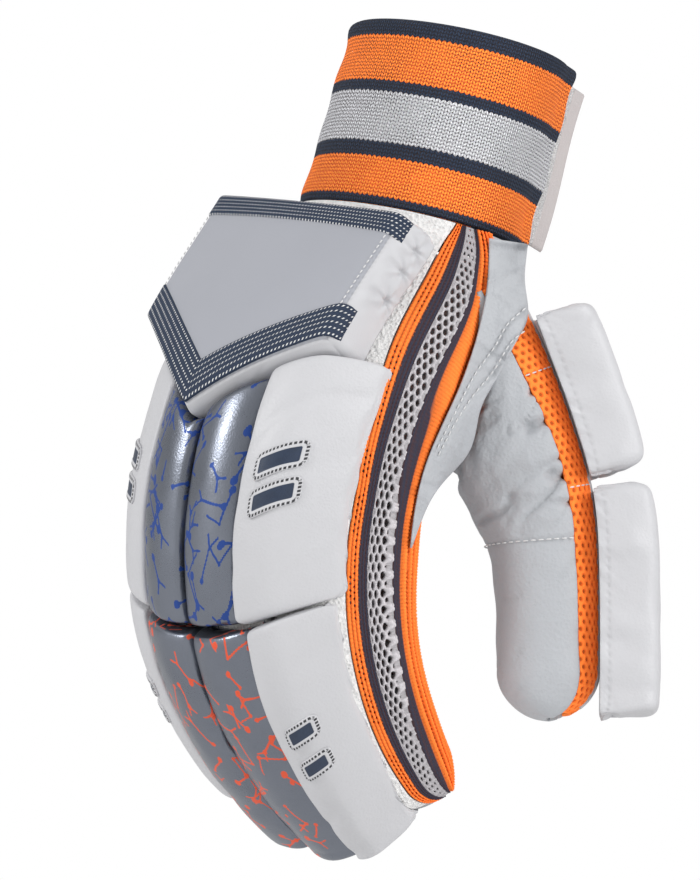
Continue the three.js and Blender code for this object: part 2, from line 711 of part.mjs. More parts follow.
function thumb() {
  const hand = handVolume(seamGap + 0.55);
  const outside = (geometry) => geometryOf(mainBody(solidOf(geometry).subtract(hand)));
  const column = (name) => (at) => rad(read(thumbShape, name, at));
  const minus = (f) => (at) => -f(at);
  const [back, front] = [column("meshBack"), column("meshFront")];
  add("thumb_back_cloth", "leather", outside(thumbStrip(minus(back), back, 4, backWall, [25, 50])));
  add("thumb_mesh_outer", "orange", outside(thumbStrip(back, front, 2, leather, [25, 50, 65])));
  add("thumb_mesh_inner", "orange", outside(thumbStrip(minus(front), minus(back), 2, leather, [25, 50, 65])));
  const ball = thumbStrip(front, (at) => 2 * Math.PI - front(at), 12, leather, [25, 50, 72, 88]);
  add("thumb_leather", "leather", outside(ball));
  thumbPad("thumb_pad_upper", thumbPadTop, thumbPadBreak, hand);
  thumbPad("thumb_pad_lower", thumbPadBreak, thumbPadEnd, hand);
}

function thumbPad(name, from, to, hand) {
  const cut = (share) => (share === thumbPadBreak ? thumbPadGap / 2 : 0);
  const startS = from * thumbLength + cut(from);
  const endS = to * thumbLength - cut(to);
  const length = endS - startS;
  const round = thumbPadRound;
  const grid = (top) =>
    padLines(length, round.along, 4).map((v) =>
      padLines(thumbPadWidth, round.across, 3).map((u) => {
        const { centre, side, back } = thumbFrame(lerp(startS, endS, v));
        const off = (u - 0.5) * thumbPadWidth;
        const sink = thumbPadWrap * (Math.abs(u - 0.5) * 2) ** 2.4;
        const rest = thumbBack + 2 * seamGap - sink;
        const soft =
          overEdge(Math.min(u, 1 - u) * thumbPadWidth, round.across, 0.5) *
          overEdge(Math.min(v, 1 - v) * length, round.along, 0.5);
        const high = top ? (thumbPadThick + sink * 0.45) * soft : 0;
        return centre.clone().addScaledVector(back, rest + high).addScaledVector(side, off);
      }),
    );
  add(name, "white", geometryOf(mainBody(solidOf(slab(grid(true), grid(false))).subtract(hand))));
}

wristband();
closureTab();
add("back_cloth", "mesh", handSheet(false, backWall, 3, [25, 50]));
const palmSheet = handSheet(true, leather, 4, [25, 50, 76, 102, 122]);
add("palm_leather", "leather", geometryOf(mainBody(solidOf(palmSheet).subtract(thumbHollow()))));
add("gusset_border_back", "orange", gusset(1, 0, meshFrom, 2));
add("gusset_mesh", "mesh", gusset(1, meshFrom, meshTo, 2));
add("gusset_border_palm", "orange", gusset(1, meshTo, 1, 4, pleatSwell));
add("gusset_ulnar", "orange", gusset(-1, 0, 1, 4));
fingers.slice(0, -1).forEach((finger, i) => {
  add(`fourchette_${finger.name}_${fingers[i + 1].name}`, "mesh", fourchette(finger, fingers[i + 1]));
});
wristGuard();
guardTrim("guard_trim_top", () => guardRound, () => guardRound + trimTop);
guardTrim(
  "guard_trim_point",
  (length) => length - guardRound - trimPoint,
  (length) => length - guardRound,
);
fingers.forEach((finger) => [true, false].forEach((upper) => fingerRoll(finger, upper)));
patchSets.forEach(patches);
thumb();

export default glove;
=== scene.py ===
import math

import bpy
import numpy as np
from mathutils import Matrix, Vector


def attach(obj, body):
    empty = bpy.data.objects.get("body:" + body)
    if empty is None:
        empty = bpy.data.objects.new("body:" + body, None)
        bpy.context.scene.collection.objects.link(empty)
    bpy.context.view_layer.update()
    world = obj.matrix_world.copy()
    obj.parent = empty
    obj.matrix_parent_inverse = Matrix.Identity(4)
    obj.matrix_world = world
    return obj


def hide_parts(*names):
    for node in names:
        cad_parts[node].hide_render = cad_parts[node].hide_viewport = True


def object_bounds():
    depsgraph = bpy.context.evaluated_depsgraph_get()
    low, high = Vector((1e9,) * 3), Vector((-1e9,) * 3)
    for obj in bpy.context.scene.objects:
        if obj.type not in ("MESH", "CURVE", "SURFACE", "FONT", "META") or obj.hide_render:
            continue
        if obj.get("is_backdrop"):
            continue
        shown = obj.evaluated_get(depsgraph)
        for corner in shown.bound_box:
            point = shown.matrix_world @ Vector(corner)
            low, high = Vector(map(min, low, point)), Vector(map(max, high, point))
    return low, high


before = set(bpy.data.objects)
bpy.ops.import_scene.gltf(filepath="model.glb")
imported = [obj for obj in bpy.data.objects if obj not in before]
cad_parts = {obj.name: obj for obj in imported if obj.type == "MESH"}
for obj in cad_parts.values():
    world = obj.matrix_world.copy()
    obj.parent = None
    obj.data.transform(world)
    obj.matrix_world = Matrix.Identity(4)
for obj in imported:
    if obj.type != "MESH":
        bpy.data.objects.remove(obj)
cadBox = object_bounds()
print("frame loaded:", len(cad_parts), "nodes")

# Lengths here are millimetres, turned into metres when a mesh is made. A place in the
# hand is (x, n, s): s runs down the mid-line, x across and n from the mid-line to the palm.
mm = 0.001
hand = dict(
    cuffHeight=60, length=196, width=94, depth=56, tipRadius=12, seamGap=0.35, slot=3, bulge=2.2,
    web=0.5
)
handBend = dict(
    along=[0, 0.07, 0.22, 0.35, 0.46, 0.58, 0.7, 0.85, 1],
    lean=[0, -16, -20, -11, 4, 20, 36, 53, 66],
)
handShape = dict(
    along=[0, 0.06, 0.14, 0.26, 0.38, 0.5, 0.7, 0.86, 1],
    width=[0.89, 0.93, 1.01, 1.07, 1.07, 1.06, 1.04, 1, 0.94],
    back=[1.02, 0.98, 0.95, 0.84, 0.7, 0.63, 0.63, 0.58, 0.52],
    front=[1.02, 1, 1.02, 1, 0.92, 0.82, 0.74, 0.6, 0.5],
    square=[0.98, 0.92, 0.74, 0.64, 0.6, 0.58, 0.58, 0.6, 0.62],
    arch=[0, 0, 0.05, 0.16, 0.3, 0.36, 0.36, 0.3, 0.24],
    seamBack=[59, 54, 51, 49, 55, 60, 61, 61, 64],
    seamFront=[80, 98, 116, 122, 123, 122, 122, 119, 112],
)
ball = dict(swell=13, start=0.02, end=0.47, first=122, last=180, sideways=0.94, frontways=0.34)
rollArch = dict(along=[0, 0.4, 0.55, 0.7, 0.85, 1], crown=[0.98, 1, 1, 0.94, 0.82, 0.7])
fingers = [
    dict(name="index", start=0.5, end=1, reach=1, rise=4, silver=False),
    dict(name="middle", start=0, end=0.5, reach=1.01, rise=0, silver=True),
    dict(name="ring", start=-0.5, end=0, reach=1, rise=0, silver=True),
    dict(name="little", start=-1, end=-0.5, reach=0.93, rise=0, silver=False),
]
thumbSize = dict(
    length=138.5, width=35, back=16, front=16, turn=56, facing=43, root=(32, -1, -76), tip=15,
    square=0.85, tipFlat=0.55,
)
thumbBend = dict(along=[0, 0.42, 0.55, 0.65, 1], lean=[40, 34, 24, 18, 15])
thumbShape = dict(
    along=[0, 0.2, 0.38, 0.52, 0.66, 1],
    width=[0.9, 0.98, 1.04, 1, 0.98, 0.94],
    back=[0.9, 1, 1, 1, 1, 0.98],
    front=[0.75, 0.95, 1.5, 1.42, 1.08, 0.98],
    meshBack=[22, 20, 18, 18, 18, 18],
    meshFront=[80, 74, 64, 62, 61, 54],
)


def ease(t):  # a smooth step from 0 to 1
    t = np.clip(t, 0, 1)
    return t * t * (3 - 2 * t)


def bump(t):  # half a sine wave over 0 to 1
    return np.sin(np.pi * np.clip(t, 0, 1))


def power(value, exponent):  # keeps the sign
    return np.sign(value) * np.abs(value) ** exponent


def lerp(a, b, t):
    return a + (b - a) * t


# A table's column at places along it: a cubic through its rows, whose slope at a row is
# that of the line between the rows on its two sides.
def read(table, column, along):
    xs, ys = np.array(table["along"], float), np.array(table[column], float)
    last = len(xs) - 1
    rows = np.arange(last + 1)
    nextRow, rowBefore = np.minimum(rows + 1, last), np.maximum(rows - 1, 0)
    slope = (ys[nextRow] - ys[rowBefore]) / (xs[nextRow] - xs[rowBefore])
    at = np.clip(along, 0, 1)
    k = np.clip(np.searchsorted(xs, at, side="right") - 1, 0, last - 1)
    span = xs[k + 1] - xs[k]
    t = (at - xs[k]) / span
    fall = (1 + 2 * t) * (1 - t) ** 2
    return (
        ys[k] * fall + ys[k + 1] * (1 - fall)
        + span * t * (1 - t) * (slope[k] * (1 - t) - slope[k + 1] * t)
    )


# A line that leans by a given angle at each millimetre: distance out, height and lean.
def bentLine(length, leanAt):
    s = np.arange(0, math.ceil(length) + 41)
    step = leanAt(s[1:] - 0.5)
    out = np.concatenate([[0], np.cumsum(np.sin(step))])
    up = np.concatenate([[0], np.cumsum(-np.cos(step))])
    lean = leanAt(s)
    return lambda at: (np.interp(at, s, out), np.interp(at, s, up), np.interp(at, s, lean))


# The share of the hand's length at a distance s from the wrist opening.
def handAlong(s):
    return (s - hand["cuffHeight"]) / hand["length"]


handLine = bentLine(
    hand["cuffHeight"] + hand["length"],
    lambda s: np.where(s < hand["cuffHeight"], 0, np.radians(read(handBend, "lean", handAlong(s)))),
)
webS = hand["cuffHeight"] + hand["web"] * hand["length"]


# (x, n, s) in space: n stands square to the mid-line.
def handPoint(x, n, s):
    out, up, lean = handLine(s)
    return np.stack(np.broadcast_arrays(x, out + n * np.cos(lean), up + n * np.sin(lean)), -1)


def halfWidth(s):
    return hand["width"] / 2 * read(handShape, "width", handAlong(s))


def midLevel(x, s):  # the hand's arch: its mid-surface lifts towards the back
    return -hand["depth"] / 2 * read(handShape, "arch", handAlong(s)) * (1 - (x / halfWidth(s)) ** 2)


# The skin round the hand: a rounded rectangle whose corner exponent comes from the table,
# lifted in the middle, with a swell on each finger and on the ball of the thumb.
def handSkin(angle, s, close=1.0, inset=0.0):
    at = handAlong(s)
    half = halfWidth(s) - inset
    square = read(handShape, "square", at)
    c = power(np.cos(angle), square)
    deep = (
        hand["depth"] / 2 * np.where(c > 0, read(handShape, "back", at), read(handShape, "front", at))
        - inset
    )
    x = half * power(np.sin(angle), square)
    rounded = hand["bulge"] * ease((s - webS + 8) / 20) * bump((np.abs(2 * x) / half) % 1)
    reach = bump((at - ball["start"]) / (ball["end"] - ball["start"]))
    swell = ball["swell"] * reach * bump(
        (angle - math.radians(ball["first"])) / math.radians(ball["last"] - ball["first"])
    )
    out = (deep * np.abs(c) + rounded) * close
    return x + ball["sideways"] * swell, midLevel(x, s) - np.sign(c) * out + ball["frontways"] * swell


# The angle round the back at which the skin comes to x: 0 is the back's middle.
def angleAt(x, s):
    share = np.minimum(np.abs(x) / halfWidth(s), 1)
    return np.arcsin(share ** (1 / read(handShape, "square", handAlong(s)))) * np.sign(x)


def slotX(share, s):  # where a gap between fingers runs
    return share * halfWidth(s)


def tipS(finger):
    return hand["cuffHeight"] + finger["reach"] * hand["length"]


# Half of a seam's gap, as an angle round the hand.
sewn = hand["seamGap"] / hand["depth"]


def capStart(finger):
    return tipS(finger) - hand["tipRadius"]


# Distance run down a finger and round its tip, as a place s, how far the section closes
# and whether it has gone over the tip.
def fingerRun(finger, run, inset=0.0):
    capS = capStart(finger)
    turn = np.maximum(run - capS, 0) / hand["tipRadius"]
    s = np.where(run < capS, run, capS + (hand["tipRadius"] - inset) * np.sin(turn))
    return s, np.abs(np.cos(turn)), turn > math.pi / 2


# Whether a point is inside the hand, as its distance from the skin seen from the mid-line.
def handDepth(points):
    flat = points.reshape(-1, 3)
    s = np.arange(62, 200, 1.0)
    out, up, lean = handLine(s)
    away = flat[:, 1, None] - out, flat[:, 2, None] - up
    slip = np.abs(away[0] * np.sin(lean) - away[1] * np.cos(lean))
    k = np.argmin(slip, 1)
    rows = np.arange(len(flat))
    n = away[0][rows, k] * np.cos(lean[k]) + away[1][rows, k] * np.sin(lean[k])
    x, at = flat[:, 0], s[k]
    along = handAlong(at)
    square = read(handShape, "square", along)
    side = np.where(
        n < midLevel(x, at), read(handShape, "back", along), read(handShape, "front", along)
    )
    level = midLevel(np.clip(x, -halfWidth(at), halfWidth(at)), at)
    sx = power(x / halfWidth(at), 1 / square)
    cx = -power((n - level) / (side * hand["depth"] / 2), 1 / square)
    angle = np.arctan2(sx, cx)
    skinX, skinN = handSkin(np.where(angle < 0, angle + 2 * math.pi, angle), at)
    return (np.hypot(x, n - level) - np.hypot(skinX, skinN - level)).reshape(points.shape[:-1])


thumbLine = bentLine(
    thumbSize["length"], lambda s: np.radians(read(thumbBend, "lean", s / thumbSize["length"]))
)


# The thumb's mid-line bends in one upright plane. Its side points where its gusset looks.
def thumbFrame(s):
    out, up, lean = thumbLine(s)
    turn, facing = math.radians(thumbSize["turn"]), math.radians(thumbSize["facing"])
    way = np.array([math.cos(turn), math.sin(turn), 0])
    along = way * np.sin(lean)[..., None] + np.array([0, 0, -1]) * np.cos(lean)[..., None]
    side = np.array([math.sin(facing), -math.cos(facing), 0]) - 0 * along
    side = side - along * np.sum(side * along, -1)[..., None]
    side /= np.linalg.norm(side, axis=-1)[..., None]
    back = np.cross(side, along)
    back *= np.where(back @ way < 0, -1, 1)[..., None]
    centre = np.array(thumbSize["root"]) + way * out[..., None] + np.array([0, 0, 1]) * up[..., None]
    return centre, side, back


# Angle 0 is the thumb's back, 90 its visible gusset, 180 the ball.
def thumbSkin(angle, s, close=1.0, inset=0.0):
    at = s / thumbSize["length"]
    centre, side, back = thumbFrame(s)
    c = power(np.cos(angle), thumbSize["square"])
    deep = np.where(
        c > 0, thumbSize["back"] * read(thumbShape, "back", at),
        thumbSize["front"] * read(thumbShape, "front", at)
    )
    wide = thumbSize["width"] / 2 * read(thumbShape, "width", at)
    closing = thumbSize["tipFlat"] + (1 - thumbSize["tipFlat"]) * close
    sideways = (wide - inset) * power(np.sin(angle), thumbSize["square"]) * closing
    return centre + back * ((deep - inset) * c * close)[..., None] + side * sideways[..., None]


# Smooth noise: random numbers on a square lattice, joined by smooth steps.
def noise(x, y, cell, seed):
    table = np.random.default_rng(seed).random((257, 257))
    gx, gy = np.broadcast_arrays(np.asarray(x) / cell + 1000, np.asarray(y) / cell + 1000)
    i, j = np.floor(gx).astype(int), np.floor(gy).astype(int)
    fx, fy = ease(gx - i), ease(gy - j)
    pick = lambda a, b: table[a % 257, b % 257]
    low = lerp(pick(i, j), pick(i + 1, j), fx)
    high = lerp(pick(i, j + 1), pick(i + 1, j + 1), fx)
    return lerp(low, high, fy)


# Noise at several sizes, each half as wide and half as strong as the one before, about 0.
def cloudy(x, y, cell, seed, layers=3):
    parts = [(noise(x, y, cell / 2**k, seed + k) - 0.5) / 2**k for k in range(layers)]
    return sum(parts)


# Wrinkles that run one way (radians from the second axis): valleys along the middle level
# of noise that is stretched along them, broken up by a second noise.
def creases(x, y, way, cell, seed, stretch=4.5, width=0.07):
    along, across = x * math.sin(way) + y * math.cos(way), x * math.cos(way) - y * math.sin(way)
    bend = 0.5 * cell * (noise(along / 2, across / 2, cell, seed + 11) - 0.5)
    value = noise(along / stretch, across + bend, cell, seed)
    here = ease((noise(along / 2, across, cell * 1.7, seed + 5) - 0.42) / 0.2)
    return np.exp(-(((value - 0.5) / width) ** 2)) * here


# Folds round a tack: a pit with ripples that fan out from it and die away.
def tackFolds(down, edge, tacks, seed):
    lift = 0 * down
    for k, (d, e, size) in enumerate(tacks):
        far = np.hypot(down - d, edge - e)
        turn = np.arctan2(edge - e, down - d)
        fan = np.cos(turn * 6 + 2.4 * noise(turn * 2, far / 3, 1, seed + k))
        lift = (
            lift - 1.3 * size * np.exp(-((far / 1.4) ** 2))
            + 0.5 * size * fan * np.exp(-far / (4.5 * size)) * ease(far / 1.5)
        )
    return lift


def normalsOf(points):  # unit normals of a grid of points
    down = np.gradient(points, axis=0)
    over = np.gradient(points, axis=1)
    normal = np.cross(down, over)
    size = np.linalg.norm(normal, axis=-1)[..., None]
    return normal / np.maximum(size, 1e-9)


def facing(normal, way):  # turned round where it looks away from way
    return normal * np.where(np.sum(normal * np.asarray(way), -1) < 0, -1, 1)[..., None]


def quadsOf(a, b, c, d, mask):
    return np.stack([a[mask], b[mask], c[mask], d[mask]], 1)


# The faces of a closed sheet between an outer and an inner grid. Keep says which cells
# are there, and every open edge gets a rim.
def slabFaces(rows, columns, keep=None):
    index = np.arange(rows * columns).reshape(rows, columns)
    keep = np.ones((rows - 1, columns - 1), bool) if keep is None else keep
    a, b, c, d = index[:-1, :-1], index[1:, :-1], index[1:, 1:], index[:-1, 1:]
    low = rows * columns
    ringed = np.pad(keep, 1)
    return np.concatenate([
        quadsOf(a, b, c, d, keep),
        quadsOf(a + low, d + low, c + low, b + low, keep),
        quadsOf(a, a + low, b + low, b, keep & ~ringed[1:-1, :-2]),
        quadsOf(c, c + low, d + low, d, keep & ~ringed[1:-1, 2:]),
        quadsOf(d, d + low, a + low, a, keep & ~ringed[:-2, 1:-1]),
        quadsOf(b, b + low, c + low, c, keep & ~ringed[2:, 1:-1]),
    ])


def addObject(name, data):
    thing = bpy.data.objects.new(name, data)
    bpy.context.scene.collection.objects.link(thing)
    return thing


# Puts points (mm), faces, values for each point and a map of lengths into one smooth mesh
# object. Faces are turned round if the volume inside them comes out negative.
def makePiece(name, points, faces, slot, material, values=None, lengths=None, replaces=()):
    points = points.reshape(-1, 3)
    used, faces = np.unique(faces, return_inverse=True)
    faces = faces.reshape(-1, 4)
    points = points[used] * mm
    p = points[faces]
    sixfold = sum(np.einsum("ij,ij->", p[:, 0], np.cross(p[:, k], p[:, k + 1])) for k in (1, 2))
    faces = faces[:, ::-1] if sixfold < 0 else faces
    mesh = bpy.data.meshes.new(name)
    mesh.vertices.add(len(points))
    mesh.vertices.foreach_set("co", points.ravel())
    single = faces[:, 2] == faces[:, 3]
    corners = np.where(single, 3, 4)
    flat = faces[np.stack([np.ones_like(single)] * 3 + [~single], 1)]
    mesh.loops.add(len(flat))
    mesh.loops.foreach_set("vertex_index", flat.astype(np.int32))
    mesh.polygons.add(len(faces))
    mesh.polygons.foreach_set(
        "loop_start", np.concatenate([[0], np.cumsum(corners)[:-1]]).astype(np.int32)
    )
    mesh.polygons.foreach_set("use_smooth", np.ones(len(faces), bool))
    mesh.update(calc_edges=True)
    for key, value in (values or {}).items():
        layer = mesh.attributes.new(key, "FLOAT", "POINT")
        layer.data.foreach_set("value", np.asarray(value, float).ravel()[used].astype(np.float32))
    if lengths is not None:
        layer = mesh.uv_layers.new(name="ruler")
        layer.data.foreach_set("uv", lengths.reshape(-1, 2)[used][flat].ravel().astype(np.float32))
    piece = addObject(name, mesh)
    mesh.materials.append(materials[material])
    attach(piece, "root")
    if replaces:
        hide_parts(*replaces)
    return piece


# A closed sheet between an outer and an inner grid of points. Its flat size is worked out and
# set against held and narrowest, but nothing is done with the result.
narrowest = 10


def makeSheet(
    name, outer, inner, keep=None, values=None, lengths=None,
    held="stretched", on=(), openwork=False, **rest
):
    rows, columns = outer.shape[:2]
    points = np.concatenate([outer.reshape(-1, 3), inner.reshape(-1, 3)])
    twice = {
        k: np.tile(np.broadcast_to(v, (rows, columns)).ravel(), 2) for k, v in (values or {}).items()
    }
    rest.update(values=twice, lengths=np.tile(lengths.reshape(-1, 2), (2, 1)))
    piece = makePiece(name, points, slabFaces(rows, columns, keep), **rest)
    middle = (outer + inner) / 2
    wide, long = (float(np.linalg.norm(np.diff(middle, axis=k), axis=-1).sum(k).max()) for k in (1, 0))
    one, two = middle[1:, 1:] - middle[:-1, :-1], middle[1:, :-1] - middle[:-1, 1:]
    cells = np.linalg.norm(np.cross(one, two), axis=-1) / 2
    held and min(wide, long) > narrowest
    return piece


def runAlong(points, axis=0):  # millimetres run from the first point on
    return np.insert(np.cumsum(np.linalg.norm(np.diff(points, axis=axis), axis=-1), axis), 0, 0, axis)


def sampled(line, run, at):  # a line's values where its run comes to at
    return np.stack([np.interp(at, run, line[:, k]) for k in range(line.shape[1])], -1)


# Millimetres run along and across a grid of points, as a map for weaves and stitches.
def rulerMap(points):
    across = runAlong(points, 1)
    across -= across[:, [points.shape[1] // 2]]
    return np.stack([across, np.broadcast_to(runAlong(points).mean(1)[:, None], across.shape)], -1)


# Even steps along half a rounded rectangle: |2u-1|^flat + q^top = 1, with u across and q
# up, for a pad of that width and height.
def padProfile(width, height, flat, top, step):
    turn = np.linspace(0, math.pi, 4001)
    u = 0.5 - 0.5 * np.sign(np.cos(turn)) * np.abs(np.cos(turn)) ** (2 / flat)
    q = np.abs(np.sin(turn)) ** (2 / top)
    run = np.concatenate([[0], np.cumsum(np.hypot(np.diff(u) * width, np.diff(q) * height))])
    at = np.linspace(0, run[-1], max(int(run[-1] / step), 8) + 1)
    return np.interp(at, run, u), np.interp(at, run, q), at


def padHeight(share, flat, top):  # the same profile's height at a share across
    return np.maximum(1 - np.abs(2 * share - 1) ** flat, 0) ** (1 / top)


# A stuffed pad. Place(u, v, q) gives its points at shares across, along and up it. The
# outline's corners are rounded, relief moves the skin along its normal, and the underside
# is closed by rings that shrink to its middle.
def makePad(name, place, size, relief, **rest):
    width, length, height = size["width"], size["length"], size["height"]
    across, crossRise, crossRun = padProfile(width, height, size["flat"], size["top"], size["step"])
    along, alongRise, alongRun = padProfile(
        length, height, size["flat"] * length / width * size.get("endSharp", 1), size["top"],
        size["step"]
    )
    u, v = np.meshgrid(across, along)
    q = crossRise[None, :] * alongRise[:, None]
    corner = size["corner"]
    near = np.clip(1 - np.minimum(v, 1 - v) * length / corner, 0, 1)
    pinch = 2 * corner * (1 - np.sqrt(1 - near**2)) / width
    u = 0.5 + (u - 0.5) * (1 - pinch)
    points = place(u, v, q)
    normal = normalsOf(points)
    middle = place(np.array(0.5), np.array(0.5), np.array(0.0))
    top = place(np.array(0.5), np.array(0.5), np.array(1.0))
    if np.sum(normal[len(along) // 2, len(across) // 2] * (top - middle)) < 0:
        normal = -normal
    down, over = alongRun[:, None] + 0 * u, crossRun[None, :] + 0 * u
    edge = np.minimum(np.minimum(over, crossRun[-1] - over), np.minimum(down, alongRun[-1] - down))
    lift, values = relief(down, over, edge)
    points = points + normal * lift[..., None]
    rows, columns = u.shape
    index = np.arange(rows * columns).reshape(rows, columns)
    loop = np.concatenate([index[0, :-1], index[:-1, -1], index[-1, :0:-1], index[:0:-1, 0]])
    shares = np.linspace(0, 1, 7)[1:]
    ringU = lerp(u.ravel()[loop][None, :], 0.5, shares[:, None])
    ringV = lerp(v.ravel()[loop][None, :], 0.5, shares[:, None])
    under = place(ringU, ringV, np.zeros_like(ringU))
    under[-1] = under[-1].mean(0)
    corners = index[:-1, :-1], index[1:, :-1], index[1:, 1:], index[:-1, 1:]
    faces = [np.stack([c.ravel() for c in corners], 1)]
    rings = np.concatenate([loop[None, :], rows * columns + np.arange(6 * len(loop)).reshape(6, -1)])
    rings[-1] = rings[-1, 0]
    a, b = rings[:-1], np.roll(rings, -1, 1)[:-1]
    c, d = np.roll(rings, -1, 1)[1:], rings[1:]
    faces.append(np.stack([a.ravel(), b.ravel(), c.ravel(), d.ravel()], 1))
    allPoints = np.concatenate([points.reshape(-1, 3), under.reshape(-1, 3)])
    fill = np.zeros(under[..., 0].size)
    values = {k: np.concatenate([np.asarray(val).ravel(), fill]) for k, val in values.items()}
    lengths = np.concatenate([np.stack([over, down], -1).reshape(-1, 2), np.zeros((len(fill), 2))])
    piece = makePiece(name, allPoints, np.concatenate(faces), values=values, lengths=lengths, **rest)
    return piece


# Short threads, each a small six-sided bead, laid between pairs of points.
def makeStitches(name, starts, ends, thick, slot, up=None):
    ring = np.linspace(0, 2 * math.pi, 7)[:-1]
    shares, girth = np.array([0, 0.12, 0.5, 0.88, 1]), np.array([0.25, 0.85, 1, 0.85, 0.25])
    way = ends - starts
    way = way / np.maximum(np.linalg.norm(way, axis=-1)[:, None], 1e-9)
    helper = np.where(np.abs(way[:, [2]]) < 0.9, np.array([[0.0, 0, 1]]), np.array([[1.0, 0, 0]]))
    one = np.cross(way, helper)
    one /= np.linalg.norm(one, axis=-1)[:, None]
    two = np.cross(way, one)
    spine = starts[:, None] + (ends - starts)[:, None] * shares[None, :, None]
    if up is not None:
        spine = spine + up[:, None] * (bump(shares) * thick * 0.5)[None, :, None]
    disc = (
        one[:, None, None] * np.cos(ring)[None, None, :, None]
        + two[:, None, None] * np.sin(ring)[None, None, :, None]
    )
    points = spine[:, :, None] + disc * (girth * thick / 2)[None, :, None, None]
    base = (
        (np.arange(len(starts)) * 30)[:, None, None] + (np.arange(5) * 6)[None, :, None]
        + np.arange(6)[None, None, :]
    )
    turned = np.roll(base, -1, 2)
    sides = np.stack([base[:, :-1], turned[:, :-1], turned[:, 1:], base[:, 1:]], -1).reshape(-1, 4)
    caps = []
    for k, order in ((0, (0, 3, 2, 1)), (4, (0, 1, 2, 3))):
        corner = base[:, k]
        caps.append(corner[:, list(order)])
        rest = [0, 5, 4, 3] if k == 0 else [0, 3, 4, 5]
        caps.append(corner[:, rest])
    return makePiece(name, points, np.concatenate([sides] + caps), slot, "thread")


# A shader socket that takes part in sums: every operator adds a Math node.
class Wire:
    def __init__(self, tree, socket):
        self.tree, self.socket = tree, socket

    # Any node: its settings first, then the values or wires of its sockets.
    def node(self, kind, settings=None, sockets=None, output=0):
        made = self.tree.nodes.new(kind)
        for key, value in (settings or {}).items():
            if key == "ramp":
                stops = made.color_ramp.elements
                while len(stops) > 1:
                    stops.remove(stops[-1])
                for k, (place, colour) in enumerate(value):
                    stop = stops[0] if k == 0 else stops.new(place)
                    stop.position, stop.color = place, (*colour, 1)
            elif key == "steps":
                made.color_ramp.interpolation = value
            else:
                setattr(made, key, value)
        for key, value in (sockets or {}).items():
            if isinstance(value, Wire):
                self.tree.links.new(value.socket, made.inputs[key])
            else:
                made.inputs[key].default_value = value
        return Wire(self.tree, made.outputs[output])

    def maths(self, operation, *others):
        return self.node("ShaderNodeMath", {"operation": operation}, dict(enumerate((self, *others))))

    def __add__(self, other):
        return self.maths("ADD", other)

    __radd__ = __add__

    def __sub__(self, other):
        return self.maths("SUBTRACT", other)

    def __rsub__(self, other):
        return self.node("ShaderNodeMath", {"operation": "SUBTRACT"}, {0: other, 1: self})

    def __mul__(self, other):
        return self.maths("MULTIPLY", other)

    def __truediv__(self, other):
        return self.maths("DIVIDE", other)

    def __pow__(self, other):
        return self.maths("POWER", other)

    def clear(self):  # kept between 0 and 1
        return self.node("ShaderNodeClamp", None, {0: self})

    def smooth(self, low, high):  # 0 below low, 1 above high
        return self.node(
            "ShaderNodeMapRange", {"interpolation_type": "SMOOTHSTEP"}, {0: self, 1: low, 2: high}
        )

    def blend(self, first, second):  # colours mixed by this factor
        return self.node(
            "ShaderNodeMix", {"data_type": "RGBA"}, {0: self, 6: asColour(first), 7: asColour(second)},
            2
        )


def asColour(value):
    return value if isinstance(value, Wire) else (*value, 1)


# A Principled material: paint(start) gives the wire of each socket that it sets.
def makeMaterial(name, paint):
    material = bpy.data.materials.new(name)
    material.use_nodes = True
    tree = material.node_tree
    tree.nodes.clear()
    shader = tree.nodes.new("ShaderNodeBsdfPrincipled")
    output = tree.nodes.new("ShaderNodeOutputMaterial")
    tree.links.new(shader.outputs[0], output.inputs[0])
    start = Wire(tree, shader.outputs[0])
    for key, wire in paint(start).items():
        tree.links.new(wire.socket, shader.inputs[key])
    return material


def objectPlace(start):
    return start.node("ShaderNodeTexCoord", output=3)


def attribute(start, name):
    return start.node("ShaderNodeAttribute", {"attribute_name": name}, output=2)


# The ruler map's two lengths in millimetres, across and along.
def ruler(start):
    apart = start.node(
        "ShaderNodeSeparateXYZ", None, {0: start.node("ShaderNodeUVMap", {"uv_map": "ruler"})}
    )
    return apart, Wire(apart.tree, apart.socket.node.outputs[1])


def grain(start, scale, detail=2.0, rough=0.5):
    sockets = {"Vector": objectPlace(start), "Scale": scale, "Detail": detail, "Roughness": rough}
    return start.node("ShaderNodeTexNoise", None, sockets)


def pores(start, scale):
    return start.node("ShaderNodeTexVoronoi", None, {"Vector": objectPlace(start), "Scale": scale})


def bumped(start, height, strength, distance):
    return start.node(
        "ShaderNodeBump", None, {"Strength": strength, "Distance": distance, "Height": height}
    )


def multiplied(start, first, second):
    settings = {"data_type": "RGBA", "blend_type": "MULTIPLY"}
    return start.node("ShaderNodeMix", settings, {0: 1.0, 6: first, 7: second}, 2)


colours = dict(
    white=(0.57, 0.57, 0.59), leather=(0.45, 0.465, 0.49), face=(0.37, 0.38, 0.42),
    silver=(0.185, 0.2, 0.235), blue=(0.012, 0.055, 0.27), red=(0.8, 0.1, 0.04),
    navy=(0.014, 0.024, 0.048), orange=(1.0, 0.22, 0.028), grey=(0.52, 0.54, 0.58),
    net=(0.5, 0.495, 0.52), thread=(0.82, 0.82, 0.82), tab=(0.6, 0.55, 0.545),
)


def dyed(name, factor):  # a colour made darker or lighter
    return [c * factor for c in colours[name]]
